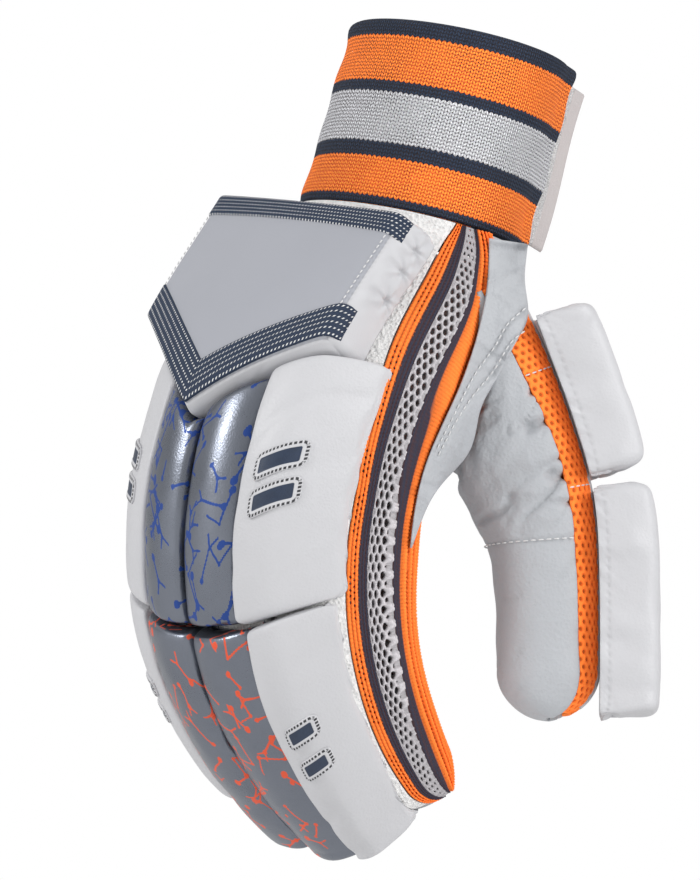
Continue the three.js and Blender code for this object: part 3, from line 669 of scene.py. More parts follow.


# Smooth coated leather: fine pores, faint clouds of colour, and painted shade where the crease mask
# marks folds, seams, stitch holes and tack pits.
def leatherPaint(colour, poreScale=1500, soft=0.12, rough=0.42):
    def paint(start):
        cloud = grain(start, 40, 3)
        pore = pores(start, poreScale)
        fine = grain(start, poreScale * 2.2, 2)
        crease = attribute(start, "crease")
        tone = (cloud * 0.5 + fine * 0.2 + pore * 0.12).clear()
        base = tone.blend(dyed(colour, 0.93), dyed(colour, 1.05))
        shade = (crease * 0.22).clear().blend(base, dyed(colour, 0.5))
        height = pore * 0.6 + fine * 0.4
        return {
            "Base Color": shade,
            "Roughness": (cloud * 0.16 + fine * 0.1 + (rough - 0.1)).clear(),
            "Normal": bumped(start, height, soft, 0.0003),
        }
    return paint


# V stitches: columns across, rows along. A stitch's two arms slope down to its column's
# middle, with a pinhole between neighbours. Stripes give a colour from each share on.
def knitPaint(stripes, width, height):
    def paint(start):
        across, along = ruler(start)
        wobble = grain(start, 700, 3)
        loose = grain(start, 70, 2)
        column = (across / width + (wobble - 0.5) * 0.35).maths("FRACT")
        arm = ((column - 0.5).maths("ABSOLUTE")) * 2
        rowAt = along / height + arm * 0.62 + (wobble - 0.5) * 0.5
        rowShare = rowAt.maths("FRACT")
        strand = ((arm * math.pi).maths("SINE") * (rowShare * math.pi).maths("SINE")).clear() ** 0.7
        hole = (1 - strand).smooth(0.6, 0.95)
        stretch = loose.smooth(0.4, 0.58)
        share = rowAt.maths("FLOOR") * (height / 60)
        base = share.node("ShaderNodeValToRGB", {"ramp": stripes, "steps": "CONSTANT"}, {0: share})
        fibre = grain(start, 4200, 3)
        # Painted light and shade: the raised strands are lit up to four times the stripe colour, and the
        # pinholes are painted nearly black.
        lit = (fibre * 0.5 + strand * 0.8 - 0.12).clear().blend((0.6, 0.5, 0.48), (4.0, 3.9, 3.8))
        colour = multiplied(start, base, lit)
        shadedHoles = (hole * (0.5 + stretch * 0.5)).clear().blend(colour, (0.05, 0.03, 0.03))
        return {
            "Base Color": shadedHoles, "Roughness": 0.78 + fibre * 0.2,
            "Normal": bumped(start, strand + fibre * 0.25, 1.0, 0.0026)
        }
    return paint


# Knitted strips whose stitches are in the mesh: colour comes from the tint attribute. The fibres'
# random tone is raised up to 1.75 times as painted light, and the depth attribute darkens the
# valleys between threads as painted shade.
def strandPaint(first, second, scale=2600):
    def paint(start):
        tint = attribute(start, "tint")
        depth = attribute(start, "depth")
        fibre = grain(start, scale, 3)
        base = tint.blend(colours[first], colours[second])
        fibreLit = multiplied(
            start, base, (fibre * 0.9 + 0.1).clear().blend((0.85, 0.8, 0.78), (1.75, 1.7, 1.7))
        )
        shade = (depth * 1.05).clear().blend(fibreLit, dyed(first, 0.1))
        return {
            "Base Color": shade, "Roughness": 0.75 + fibre * 0.22,
            "Normal": bumped(start, fibre, 0.55, 0.0003)
        }
    return paint


def webbingPaint(start):
    across, along = ruler(start)
    rib = (along / 0.42).maths("FRACT")
    weft = (across / 0.55).maths("FRACT")
    weave = (rib * math.pi).maths("SINE") * 0.6 + (weft * math.pi).maths("SINE") * 0.4
    fibre = grain(start, 3000, 2)
    line = along / 1.52
    tilt = (line.maths("FRACT") - 0.5) * 0.6
    slide = line.maths("FLOOR") * 0.41
    lane = (line.maths("FRACT") - 0.5).maths("ABSOLUTE")
    dash = ((across / 1.34 + slide + tilt).maths("FRACT") - 0.5).maths("ABSOLUTE")
    wobble = (grain(start, 1600, 2) - 0.5) * 0.16
    stitch = (lane + wobble).smooth(0.19, 0.1) * (dash + wobble).smooth(0.24, 0.15)
    # Painted light and shade: the weave's raised threads are painted lighter and its gaps darker,
    # following the same weave as the bump.
    base = (weave * 0.7 + fibre * 0.4).clear().blend(dyed("navy", 0.55), dyed("navy", 1.9))
    return {
        "Base Color": stitch.blend(base, colours["thread"]),
        "Roughness": (0.72 + fibre * 0.2 - stitch * 0.2).clear(),
        "Normal": bumped(start, weave * 0.35 + stitch, 0.8, 0.0004),
    }


def silverPaint(ink):
    def paint(start):
        cloud = grain(start, 55, 3)
        fine = grain(start, 3000, 2)
        pore = pores(start, 1500)
        inkMask = attribute(start, "print").smooth(0.35, 0.65)
        crease = attribute(start, "crease")
        tone = (cloud * 0.7 + fine * 0.35).clear().blend(dyed("silver", 0.8), dyed("silver", 1.2))
        # Painted shade: the silver darkens towards half its colour where the crease mask marks folds and
        # tack pits.
        shade = (crease * 0.4).clear().blend(tone, dyed("silver", 0.5))
        return {
            "Base Color": inkMask.blend(shade, colours[ink]),
            "Metallic": (0.88 - inkMask * 0.6).clear(),
            "Roughness": (0.17 + fine * 0.14 + cloud * 0.12 + inkMask * 0.15).clear(),
            "Normal": bumped(start, pore * 0.5 + fine * 0.5, 0.2, 0.0003),
        }
    return paint


def facePaint(start):
    side = attribute(start, "side").smooth(0.4, 0.6)
    cloud = grain(start, 45, 3)
    fine = grain(start, 3000, 2)
    pore = pores(start, 1700)
    crease = attribute(start, "crease")
    top = (cloud * 0.6 + fine * 0.3).clear().blend(dyed("face", 0.95), dyed("face", 1.05))
    wall = (cloud * 0.6 + fine * 0.3).clear().blend(dyed("white", 0.95), dyed("white", 1.03))
    # Painted shade: the colour darkens towards grey in the wall folds, stitch holes and tack pits that
    # the crease mask marks.
    shade = (crease * 0.5).clear().blend(side.blend(top, wall), (0.3, 0.3, 0.32))
    return {
        "Base Color": shade, "Roughness": (0.34 + side * 0.12 + fine * 0.12).clear(),
        "Normal": bumped(start, pore * 0.5 + fine * 0.5, 0.12, 0.0003)
    }


def patchPaint(start):
    fine = grain(start, 3200, 2)
    cloud = grain(start, 300, 2)
    edge, run = attribute(start, "edge"), attribute(start, "run")
    beside = ((run / 0.86).maths("FRACT") - 0.5).maths("ABSOLUTE").smooth(0.36, 0.26)
    dots = beside * (edge - 0.5).maths("ABSOLUTE").smooth(0.36, 0.22)
    middle = edge.smooth(1.35, 1.5)
    ink = (fine * 0.6 + cloud * 0.5).clear().blend(dyed("navy", 0.6), dyed("navy", 2.0))
    ground = fine.blend(dyed("white", 0.96), dyed("white", 1.03))
    marked = dots.blend(ground, (0.03, 0.03, 0.035))
    return {
        "Base Color": middle.blend(marked, ink),
        "Roughness": (0.4 + fine * 0.15 - middle * 0.05).clear(),
        "Normal": bumped(start, fine * 0.2 - dots, 0.5, 0.0004),
    }


def towelPaint(start):
    loops = pores(start, 900)
    fluff = grain(start, 380, 4, 0.7)
    shade = (loops * 0.8 + fluff * 0.6).clear().blend((0.66, 0.66, 0.66), (0.92, 0.91, 0.9))
    return {
        "Base Color": shade, "Roughness": 0.9 + fluff * 0.1,
        "Normal": bumped(start, loops * 0.5 + fluff, 1.0, 0.0012)
    }


def tapePaint(start):
    hooks = pores(start, 2300)
    fine = grain(start, 4000, 2)
    fuzzy = attribute(start, "fuzzy").smooth(0.4, 0.6)
    colour = (hooks * 1.1 + fine * 0.3).clear().blend((0.42, 0.41, 0.41), (0.86, 0.85, 0.85))
    plain = fine.blend(dyed("tab", 0.9), colours["tab"])
    return {
        "Base Color": fuzzy.blend(plain, colour),
        "Roughness": (0.3 + fuzzy * 0.55 + fine * 0.1).clear(),
        "Alpha": (0.82 + fuzzy * 0.18).clear(),
        "Normal": bumped(start, hooks * (0.15 + fuzzy), 0.9, 0.0008),
    }


def threadPaint(start):
    across = grain(start, 5200, 2)
    return {
        "Base Color": across.blend(dyed("thread", 0.72), colours["thread"]),
        "Roughness": 0.5 + across * 0.3, "Normal": bumped(start, across, 0.5, 0.0002)
    }


navy, orange, grey = colours["navy"], colours["orange"], colours["grey"]
bandStripes = [
    (0, navy), (0.085, orange), (0.325, navy), (0.4, grey), (0.66, navy), (0.735, orange),
    (0.955, navy),
]
materials = dict(
    band=makeMaterial("striped_knit", knitPaint(bandStripes, 1.75, 1.15)),
    tape=makeMaterial("hook_tape", tapePaint),
    towel=makeMaterial("white_towelling", towelPaint),
    leather=makeMaterial("soft_palm_leather", leatherPaint("leather", 850, 0.9, 0.5)),
    white=makeMaterial("white_pad_leather", leatherPaint("white", 1100, 0.35, 0.4)),
    face=makeMaterial("guard_leather", facePaint),
    webbing=makeMaterial("stitched_navy_webbing", webbingPaint),
    silverBlue=makeMaterial("silver_leather_blue_print", silverPaint("blue")),
    silverRed=makeMaterial("silver_leather_red_print", silverPaint("red")),
    patch=makeMaterial("navy_window", patchPaint),
    border=makeMaterial("orange_navy_knit", strandPaint("orange", "navy")),
    net=makeMaterial("white_net", strandPaint("net", "net", 3200)),
    spacer=makeMaterial("orange_spacer_mesh", strandPaint("orange", "orange", 2400)),
    thread=makeMaterial("white_thread", threadPaint),
)
print("materials ready:", len(materials))

# The wristband: one striped knitted strip, overlapped on the palm and standing off at its
# free end.
band = dict(
    width=84, depth=58, wall=2.6, lap=24, end=112, lift=5, flare=16, tabReach=14, tabHeight=52,
    tabWall=1.4, wave=1.3, fuzzEnd=6.5,
    lapFrom=25, lapOver=22,
)


# A place on the wristband: round an oval for negative runs (radians), and straight off it
# for positive ones (mm). The inner end of the strip slides under the outer one.
def bandPoint(run, inset, z):
    turned = np.minimum(run, 0)
    angle = math.radians(band["end"]) + turned
    under = inset + (band["wall"] + band["tabWall"] + 2 * hand["seamGap"]) * ease(
        (-turned - 2 * math.pi + math.radians(band["lapFrom"])) / math.radians(band["lapOver"])
    )
    a, b = band["width"] / 2 - under, band["depth"] / 2 - under
    along = np.stack([a * np.cos(angle), b * np.sin(angle)], -1)
    along /= np.linalg.norm(along, axis=-1)[..., None]
    flare = -math.radians(band["flare"])
    wayX = along[..., 0] * math.cos(flare) - along[..., 1] * math.sin(flare)
    wayY = along[..., 0] * math.sin(flare) + along[..., 1] * math.cos(flare)
    straight = np.maximum(run, 0)
    return np.stack(
        np.broadcast_arrays(
            a * np.sin(angle) + wayX * straight, -b * np.cos(angle) + wayY * straight, -z
        ),
        -1
    )


def roundedEdge(distance, radius):  # how far a wall draws in near its edge
    return radius * (1 - np.sqrt(np.maximum(1 - np.clip(1 - distance / radius, 0, 1) ** 2, 0)))


def wristband():
    radius = (band["width"] + band["depth"]) / 4
    lap = band["lap"] / radius
    turns = np.linspace(-2 * math.pi - lap, 0, 300)
    runs = np.concatenate([turns, np.linspace(0, band["lift"], 10)[1:]])
    height = hand["cuffHeight"] - hand["seamGap"]
    rim = np.array([0, 0.15, 0.4, 0.8])
    z = np.concatenate([rim, np.linspace(1.3, height - 1.3, 56), height - rim[::-1]])
    run, level = np.meshgrid(runs, z)
    arc = np.where(run < 0, run * radius, run)
    edge = np.minimum(np.minimum(level, height - level), 4)
    draw = roundedEdge(np.minimum(edge, 3), 1.25)
    ridge = 0.35 * np.cos(level / height * 2 * math.pi * 3.1 + 0.6) * ease(edge / 4)
    soft = band["wave"] * (noise(arc, level * 1.3, 16, 5) - 0.5) * 2 * ease(edge / 3)
    hem = 0.4 * bump((level - 0.5) / 5.5)
    lift = np.minimum(ridge * 1.9 + soft * 0.8 + hem, 1.5) - 0.4
    outer = bandPoint(run, 0.35 - lift * 0.5 + draw, level)
    inner = bandPoint(run, band["wall"] - draw - lift * 0.15, level)
    makeSheet(
        "striped_wristband", outer, inner, lengths=np.stack([arc, level], -1),
        replaces=["wristband"], slot="ribbed_knit", material="band",
    )


def closureTab():
    top = (hand["cuffHeight"] - band["tabHeight"]) / 2
    straight = np.linspace(0, band["lift"] + band["tabReach"], 40)[1:]
    runs = np.concatenate([np.linspace(-0.16, 0, 12), straight])
    z = np.linspace(top, top + band["tabHeight"], 90)
    run, level = np.meshgrid(runs, z)
    inset = band["wall"] + hand["seamGap"]
    across = run - band["lift"]
    edge = np.minimum(
        np.minimum(level - top, top + band["tabHeight"] - level), band["tabReach"] - across
    )
    draw = roundedEdge(edge, 0.6)
    fuzzy = (across > -0.5) & (across < band["fuzzEnd"])
    fuzz = 0.5 * noise(across, level, 0.9, 9) * fuzzy
    wave = 0.5 * np.sin(level / 9.5) * ease(across / 9)
    outer = bandPoint(run, inset - fuzz * 0.6 + draw + wave, level)
    inner = bandPoint(run, inset + band["tabWall"] - draw + wave, level)
    makeSheet(
        "hook_tape_tab", outer, inner, values={"fuzzy": fuzzy * 1.0},
        lengths=np.stack([across, level], -1), replaces=["closure_tab"],
        slot="hook_tape", material="tape",
    )


wristband()
closureTab()
print("wristband made")

# The back and the palm: one sheet each, cut between the fingers below the web.
sheets = dict(leather=1.6, backWall=1.8, knit=2.2, cells=34, palmRows=110, fingerRows=70, tipRows=14)


# The angles of a finger's two edges, from the seams at the sides and the slots between.
def fingerEdges(finger, s, palm):
    at = handAlong(s)
    seam = (
        np.radians(np.where(palm, read(handShape, "seamFront", at), read(handShape, "seamBack", at)))
        + np.where(palm, sewn, -sewn)
    )

    def slot(share, side):
        angle = angleAt(slotX(share, s) + side * hand["slot"] / 2, s)
        return np.where(palm, math.pi - angle, angle)

    first = seam if finger["end"] == 1 else slot(finger["end"], -1)
    farSeam = np.where(palm, 2 * math.pi - seam, -seam)
    last = farSeam if finger["start"] == -1 else slot(finger["start"], 1)
    return first, last


# Four strips of cells side by side, one to a finger, as far round the tips as turnEnd
# degrees. Above the web the strips are joined by the cells between them.
def handSheet(palm, thick, turnEnd):
    grids = {}
    for inset in (0, thick):
        parts = []
        for finger in fingers:
            capS = capStart(finger)
            run = np.concatenate([
                np.linspace(hand["cuffHeight"] + hand["seamGap"], webS, sheets["palmRows"]),
                np.linspace(webS, capS, sheets["fingerRows"])[1:],
                capS + np.linspace(0, math.radians(turnEnd), sheets["tipRows"])[1:] * hand["tipRadius"],
            ])[:, None]
            s, close, over = fingerRun(finger, run, inset)
            first, last = fingerEdges(finger, s, over != palm)
            t = np.linspace(0, 1, sheets["cells"] + 1)[None, :]
            angle = lerp(first, last, t)
            x, n = handSkin(angle, s + 0 * t, close, inset)
            parts.append((handPoint(x, n, s + 0 * t), s + 0 * t))
        grids[inset] = [np.concatenate([p[k] for p in parts], 1) for k in range(2)]
    outer, s = grids[0]
    inner = grids[thick][0]
    columns = np.arange(outer.shape[1] - 1)
    between = (columns + 1) % (sheets["cells"] + 1) == 0
    keep = np.ones((outer.shape[0] - 1, outer.shape[1] - 1), bool)
    keep[sheets["palmRows"] - 1:, between] = False
    return outer, inner, s, keep


def backCloth():
    outer, inner, s, keep = handSheet(False, sheets["backWall"], 50)
    makeSheet(
        "back_towelling", outer, inner, keep, values={"crease": 0}, lengths=rulerMap(outer),
        replaces=["back_cloth"], slot="towelling", material="towel",
    )


def palmLeather():
    outer, inner, s, keep = handSheet(True, sheets["leather"], 122)
    ruled = rulerMap(outer)
    across, along = ruled[..., 0], ruled[..., 1]
    fold = creases(across, along, 1.2, 9, 21, 4, 0.08)
    fine = creases(across, along, 0.9, 4, 33, 5, 0.08)
    calm = ease((s - hand["cuffHeight"]) / 9)
    lift = (-1.3 * fold - 0.5 * fine + 0.9 * cloudy(across, along, 22, 44)) * calm
    normal = normalsOf(outer)
    if np.mean(np.sum(normal * (outer - inner), -1)) < 0:
        normal = -normal
    lift = np.minimum(lift, 0.5)
    # The crease mask marks the folds, where the material paints shade.
    makeSheet(
        "palm_leather_sheet", outer + normal * lift[..., None],
        inner + normal * np.minimum(lift, 0)[..., None], keep,
        values={"crease": fold * 0.7 + fine * 0.3}, lengths=ruled,
        replaces=["palm_leather"], slot="palm_leather", material="leather",
    )


backCloth()
palmLeather()
print("back and palm made")

# The knitted side pieces are made stitch by stitch: threads stand up and holes go through.
sides = dict(step=0.32, netEnd=76, pleat=1.5, knot=1.2, pin=1.75, navyRibs=3)
netSize = dict(across=3.05, rowPitch=2.6, holeWide=1.05, holeLong=1.55, ring=1.45, yarn=0.42)
edgeFinger = {1: fingers[0], -1: fingers[3]}


# A place on a side piece at a share between its two seams and a distance down it.
def sidePoint(side, share, run, inset=0.0, pleats=0.0):
    s, close, _ = fingerRun(edgeFinger[side], run, inset)
    at = handAlong(s)
    back = np.radians(read(handShape, "seamBack", at)) + sewn
    front = np.radians(read(handShape, "seamFront", at)) - sewn
    x, n = handSkin(lerp(back, front, share) * side, s, close, inset)
    x = x + side * pleats * (0.6 + 0.4 * np.cos((s - hand["cuffHeight"]) / 9)) * close
    return handPoint(x, n, s)


def sideGrid(side, start, end, columns):
    capS = capStart(edgeFinger[side])
    length = capS - hand["cuffHeight"] + math.radians(sides["netEnd"]) * hand["tipRadius"]
    run = np.linspace(
        hand["cuffHeight"] + hand["seamGap"], hand["cuffHeight"] + length, int(length / sides["step"])
    )
    share = np.linspace(start, end, columns)
    return np.meshgrid(share, run)


# Puts the grid lines beside a hole on its edge: they move down the slope of the field to
# where it is zero, by up to half a cell.
def snapToEdge(share, run, field, keep):
    df = np.stack([np.gradient(field, axis=1), np.gradient(field, axis=0)], -1)
    slope = np.sum(df**2, -1)
    move = -field[..., None] * df / np.maximum(slope, 1e-9)[..., None]
    size = np.linalg.norm(move, axis=-1)
    move *= np.minimum(1, 0.55 / np.maximum(size, 1e-9))[..., None]
    ringed = np.pad(keep, 1, mode="edge")
    around = ringed[:-1, :-1].astype(int) + ringed[1:, :-1] + ringed[:-1, 1:] + ringed[1:, 1:]
    mixed = (around > 0) & (around < 4)
    mixed[[0, -1]] = False
    mixed[:, [0, -1]] = False
    ds, dr = share[0, 1] - share[0, 0], run[1, 0] - run[0, 0]
    return share + np.where(mixed, move[..., 0] * ds, 0), run + np.where(mixed, move[..., 1] * dr, 0)


# A side piece from a field: positive where thread is, with its height above the ground.
def knitStrip(name, side, start, end, columns, stitch, node, slot, material, pleats=0, thick=1.3):
    share, run = sideGrid(side, start, end, columns)
    local = (share - start) / (end - start)
    middle = sidePoint(side, np.array([[start, end]]), run[:, :1], 0)
    width = np.linalg.norm(middle[:, 0] - middle[:, 1], axis=-1)[:, None]
    field, height, values = stitch(local, run - hand["cuffHeight"], width)
    keep = (field[:-1, :-1] + field[1:, :-1] + field[1:, 1:] + field[:-1, 1:]) > 0
    share, run = snapToEdge(share, run, field, keep)
    local = (share - start) / (end - start)
    pleat = pleats * bump(local)
    outer = sidePoint(side, share, run, 0, pleat)
    normal = normalsOf(
        sidePoint(side, *np.meshgrid(np.linspace(start, end, columns), run[:, 0]), 0, pleat)
    )
    if np.mean(normal[..., 0]) * side < 0:
        normal = -normal
    inner = outer - normal * thick
    outer = outer + normal * (height - 0.45)[..., None]
    makeSheet(
        name, outer, inner, keep, values=values, lengths=np.stack([local * width, run], -1),
        openwork=True, replaces=[node], slot=slot, material=material,
    )


# Openwork borders: lengthwise ribs of small knots, with rows of pinholes between them.
def borderStitch(orangeFirst, orangeShare, ribs, seed, deep=0.42):
    def stitch(local, run, width):
        at = local if orangeFirst else 1 - local
        navyPart = at > orangeShare + 0.012 * np.sin(run * 5.2) * 0.5
        lane = np.where(
            navyPart, (at - orangeShare) / (1 - orangeShare) * sides["navyRibs"],
            at / orangeShare * ribs
        )
        rib = np.abs(np.sin(np.pi * lane))
        jitter = (noise(local * 9, run, 2.2, seed) - 0.5) * 0.6
        knot = np.abs(np.sin(np.pi * (run / sides["knot"] + 0.5 * np.floor(lane) + jitter)))
        height = np.where(
            navyPart, 0.42 * rib + 0.34 * knot, deep * rib + 0.4 * knot * (0.35 + 0.65 * rib)
        )
        pitch = np.where(navyPart, 9, width * orangeShare / ribs)
        valley = np.abs((lane + 0.5) % 1 - 0.5) * pitch
        step = (run / sides["pin"] + 0.5 * (np.floor(lane + 0.5) % 2) + jitter * 0.3) % 1 - 0.5
        pin = np.hypot(valley / 0.36, step * sides["pin"] / 0.42)
        inside = (at > 0.08) & (at < orangeShare * 0.95) & (noise(local * 7, run, 7, seed + 3) > 0.3)
        field = np.where(inside, pin - 1, 1.0)
        # Depth darkens the valleys between ribs and knots as painted shade.
        depth = (1 - rib) * 0.5 + (1 - knot) * 0.22
        return field, height, {"tint": np.where(navyPart, 1.0, 0.0), "depth": depth}
    return stitch


# A net of looped yarn: rows of round-cornered holes, each row half a step on, and a ring of
# yarn round each hole.
def netStitch(local, run, width):
    across, pitch, rowPitch = local * width, width / netSize["across"], netSize["rowPitch"]
    row = np.floor(run / rowPitch)
    dx = ((across / pitch + 0.5 * (row % 2)) % 1 - 0.5) * pitch
    dy = (run / rowPitch % 1 - 0.5) * rowPitch
    jitter = (noise(across, run, 2.4, 64) - 0.5) * 0.3
    tight = np.minimum(pitch / 3.1, 1)
    hole = (np.abs(dx) / (netSize["holeWide"] * tight)) ** 1.3
    hole = hole + (np.abs(dy) / (netSize["holeLong"] * tight)) ** 1.3 + jitter
    edge = np.minimum(local, 1 - local) * width
    field = np.maximum(hole - 1, (0.7 - edge) * 0.8)
    far = np.hypot(dx, dy / 1.4)
    turn = np.arctan2(dy, dx)
    loops = np.abs(np.sin(turn * 3.5 + far * 5))
    yarn = np.exp(-(((far - netSize["ring"]) / netSize["yarn"]) ** 2))
    height = 0.2 + 0.42 * yarn + 0.24 * loops * yarn + 0.15 * noise(across, run, 0.7, 65)
    # Depth darkens the net between and inside the yarn rings as painted shade.
    depth = (1 - yarn) * 0.35 + (1 - loops) * 0.22
    return field, height, {"tint": 0 * local, "depth": depth}


knitStrip(
    "side_border_back", 1, 0, 0.26, 28, borderStitch(True, 0.55, 3, 61), "gusset_border_back",
    "side_knit", "border"
)
knitStrip("side_net", 1, 0.26, 0.49, 38, netStitch, "gusset_mesh", "side_mesh", "net", thick=0.9)
knitStrip(
    "side_border_palm", 1, 0.49, 1, 56, borderStitch(False, 0.9, 6, 67, 0.95), "gusset_border_palm",
    "side_knit", "border", sides["pleat"]
)


# The little finger's side: the same openwork knit, orange with a navy band along it.
def ulnarStitch(local, run, width):
    field, height, values = borderStitch(True, 0.999, 12, 71)(local, run, width)
    inBand = np.abs(local - 0.5) < 0.09
    return np.where(inBand, 1.0, field), height, {"tint": inBand * 1.0, "depth": values["depth"]}


knitStrip("side_knit_ulnar", -1, 0, 1, 84, ulnarStitch, "gusset_ulnar", "side_knit", "border")
print("side pieces made")


# The walls between the fingers: down one finger's side, round the web and down the other's.
def fourchette(left, right):
    under = sheets["leather"] + hand["seamGap"]
    t = np.linspace(0, 1, 14)[None, :]

    def fingerSide(finger, share, sign):
        capS = capStart(finger)
        overTip = capS + np.linspace(0, math.radians(65), 12)[1:] * hand["tipRadius"]
        run = np.concatenate([np.linspace(webS, capS, 60)[1:], overTip])[:, None]
        s, close, _ = fingerRun(finger, run, under + 0.4)
        return slotX(share, s) + sign * hand["slot"] / 2, s, close

    turn = np.radians(np.linspace(15, 165, 11))[:, None]
    webRow = webS + hand["seamGap"] + hand["slot"] * (1 - np.sin(turn))
    webX = slotX(left["start"], webRow) + hand["slot"] / 2 * np.cos(turn)
    one, two = fingerSide(left, left["start"], 1), fingerSide(right, right["end"], -1)
    x, s, close = [
        np.concatenate([a[::-1], b, c]) for a, b, c in zip(one, (webX, webRow, np.ones_like(webX)), two)
    ]
    angle, level = angleAt(x, s), midLevel(x, s)
    back = handSkin(angle, s, close)[1] + sheets["backWall"] + 2 * hand["seamGap"]
    front = handSkin(math.pi - angle, s, close)[1] - under - hand["seamGap"]
    n = level + (lerp(back, front, t) - level) * (1 - 0.12 * (1 - close))
    outer = handPoint(x + 0 * t, n, s + 0 * t)
    normal = normalsOf(outer)
    thick = sheets["knit"] / 1.6
    if np.sum(normal[0, 7] * (outer[-1, 7] - outer[0, 7])) > 0:
        thick = -thick
    node = f"fourchette_{left['name']}_{right['name']}"
    makeSheet(
        f"{node}_knit", outer, outer - normal * thick,
        values={"tint": 0, "depth": 0}, lengths=rulerMap(outer),
        replaces=[node], slot="side_mesh", material="net",
    )


for left, right in zip(fingers[:-1], fingers[1:]):
    fourchette(left, right)
print("finger walls made")

# The wrist guard: a firm shield, straight on top and pointed below.
guard = dict(
    thick=17, top=18, side=62, point=83.5, half=42.5, lean=4.5, crownTop=42.5, crownPoint=46, bowTop=1,
    bowPoint=9, trimIn=1.4, trimTop=8.5, trimPoint=9, line=15
)
guardSize = dict(
    width=85, length=54, height=16, flat=40, top=3.6, corner=2.2, step=0.5, fill=1.0, endSharp=1.5
)
guardEndFlat = guardSize["flat"] * guardSize["length"] / guardSize["width"] * guardSize["endSharp"]


def guardEnd(x):  # the distance down at which the point's edge lies
    return hand["cuffHeight"] + lerp(
        guard["point"], guard["side"], np.abs(x + guard["lean"]) / guard["half"]
    )


def guardFace(x, s):  # the face's level: bowed across, more so towards the point
    t = (s - hand["cuffHeight"] - guard["top"]) / (guard["point"] - guard["top"])
    across = (x + guard["lean"] * t) / guard["half"]
    return lerp(guard["bowTop"], guard["bowPoint"], t) * across**2 - lerp(
        guard["crownTop"], guard["crownPoint"], t
    )


# A place on the shield at shares across and along it: it leans to the little finger's side.
def guardOutline(u, v):
    x = lerp(-guard["half"], guard["half"], u)
    start = hand["cuffHeight"] + guard["top"]
    end = guardEnd(x - guard["lean"])
    return x - guard["lean"] * v, lerp(start, end, v), end - start


def guardPlace(u, v, q):
    x, s, _ = guardOutline(u, v)
    high = guardFace(x, s)
    rest = handSkin(angleAt(x, s), s)[1] - hand["seamGap"]
    base = np.minimum(np.where(np.abs(x) < hand["width"] * 0.4, rest, 999), high + guard["thick"])
    return handPoint(x, base - (base - high) * q, s)


# The walls are softly folded and pulled in by tacks. A stitched line runs round the face.
def guardRelief(down, over, edge):
    wall = 1 - ease((edge - 11) / 4)
    low = np.exp(-edge / 5)
    around = down + over
    right = over > over.max() - 18
    fold = creases(around, edge, 0.5, 6, 81, 3, 0.16) * wall
    soft = (noise(around, edge * 0.7, 9, 82) - 0.5) * wall
    tacks = [(14, 6, 0.8), (24, 5, 1.1), (34, 5, 1.1), (46, 4, 1.2)]
    pulled = tackFolds(down, edge, tacks, 85) * right * wall
    lift = -0.3 * fold + 0.9 * soft + pulled + 0.6 * bump(edge / 14) * wall
    lift = lift + 0.25 * low * (noise(around, 0, 3, 84) - 0.5)
    lift = lift + 0.14 * cloudy(over, down, 25, 83)
    line = np.exp(-(((edge - guard["line"]) / 0.4) ** 2))
    notches = 0.5 + 0.5 * np.cos(around * 2 * math.pi / 2.2)
    lift = lift - 0.4 * line * (0.5 + 0.5 * notches)
    # The crease mask marks the wall folds, the stitch holes and the pits round the tacks, where the
    # material paints shade.
    crease = np.clip(0.3 * fold * wall + line * notches * 1.4 + np.clip(-pulled, 0, 1) * 0.5, 0, 1)
    return lift, {"crease": crease, "side": ease((guard["line"] + 0.2 - edge) / 0.5)}


makePad(
    "guard_shield", guardPlace, guardSize, guardRelief, replaces=["wrist_guard"], slot="guard_leather",
    material="face"
)


def guardTop(u, v):  # the shield's skin at shares across and along it
    size = guardSize
    return guardPlace(
        u, v, padHeight(u, size["flat"], size["top"]) * padHeight(v, guardEndFlat, size["top"])
    )


# A band of webbing on the guard's face between two distances down it, each a function of the
# face's length there. It lies flat on the leather and wraps over the shield's edges.
def guardTrim(name, first, last, node):
    u, t = np.meshgrid(np.linspace(0.004, 0.996, 170), np.linspace(0, 1, 26))
    length = guardOutline(u, 1)[2]
    down = lerp(first(length), last(length), t)
    ground = guardTop(u, down / length)
    normal = facing(normalsOf(ground), [0, -1, 0])
    width = last(length) - first(length)
    draw = roundedEdge(np.minimum(t, 1 - t) * width, 0.4)
    outer = ground + normal * (0.62 - draw)[..., None]
    inner = ground - normal * 0.25
    makeSheet(
        name, outer, inner, lengths=np.stack([runAlong(ground, 1), t * width], -1),
        replaces=[node], slot="navy_webbing", material="webbing",
    )


trimIn = guard["trimIn"]
guardTrim(
    "guard_webbing_top", lambda length: trimIn + 0 * length,
    lambda length: trimIn + guard["trimTop"] + 0 * length, "guard_trim_top",
)
guardTrim(
    "guard_webbing_point", lambda length: length - trimIn - guard["trimPoint"],
    lambda length: length - trimIn, "guard_trim_point",
)


# Threads along the shield's face just inside its two sides.
def guardStitches(name, side):
    stitch, pitch = 1.2, 1.9
    line = (
        guardTop(np.full(400, 0.5 + side * 0.472), np.linspace(0.03, 0.97, 400))
        + np.array([0, -0.35, 0])
    )
    run = runAlong(line)
    starts = np.arange(0.5, run[-1] - stitch, pitch)
    first, last = sampled(line, run, starts), sampled(line, run, starts + stitch)
    first[:, 0] += 0.25 * side
    makeStitches(name, first, last, 0.45, "guard_leather")


guardStitches("guard_stitches_radial", -1)
guardStitches("guard_stitches_ulnar", 1)
print("guard made")

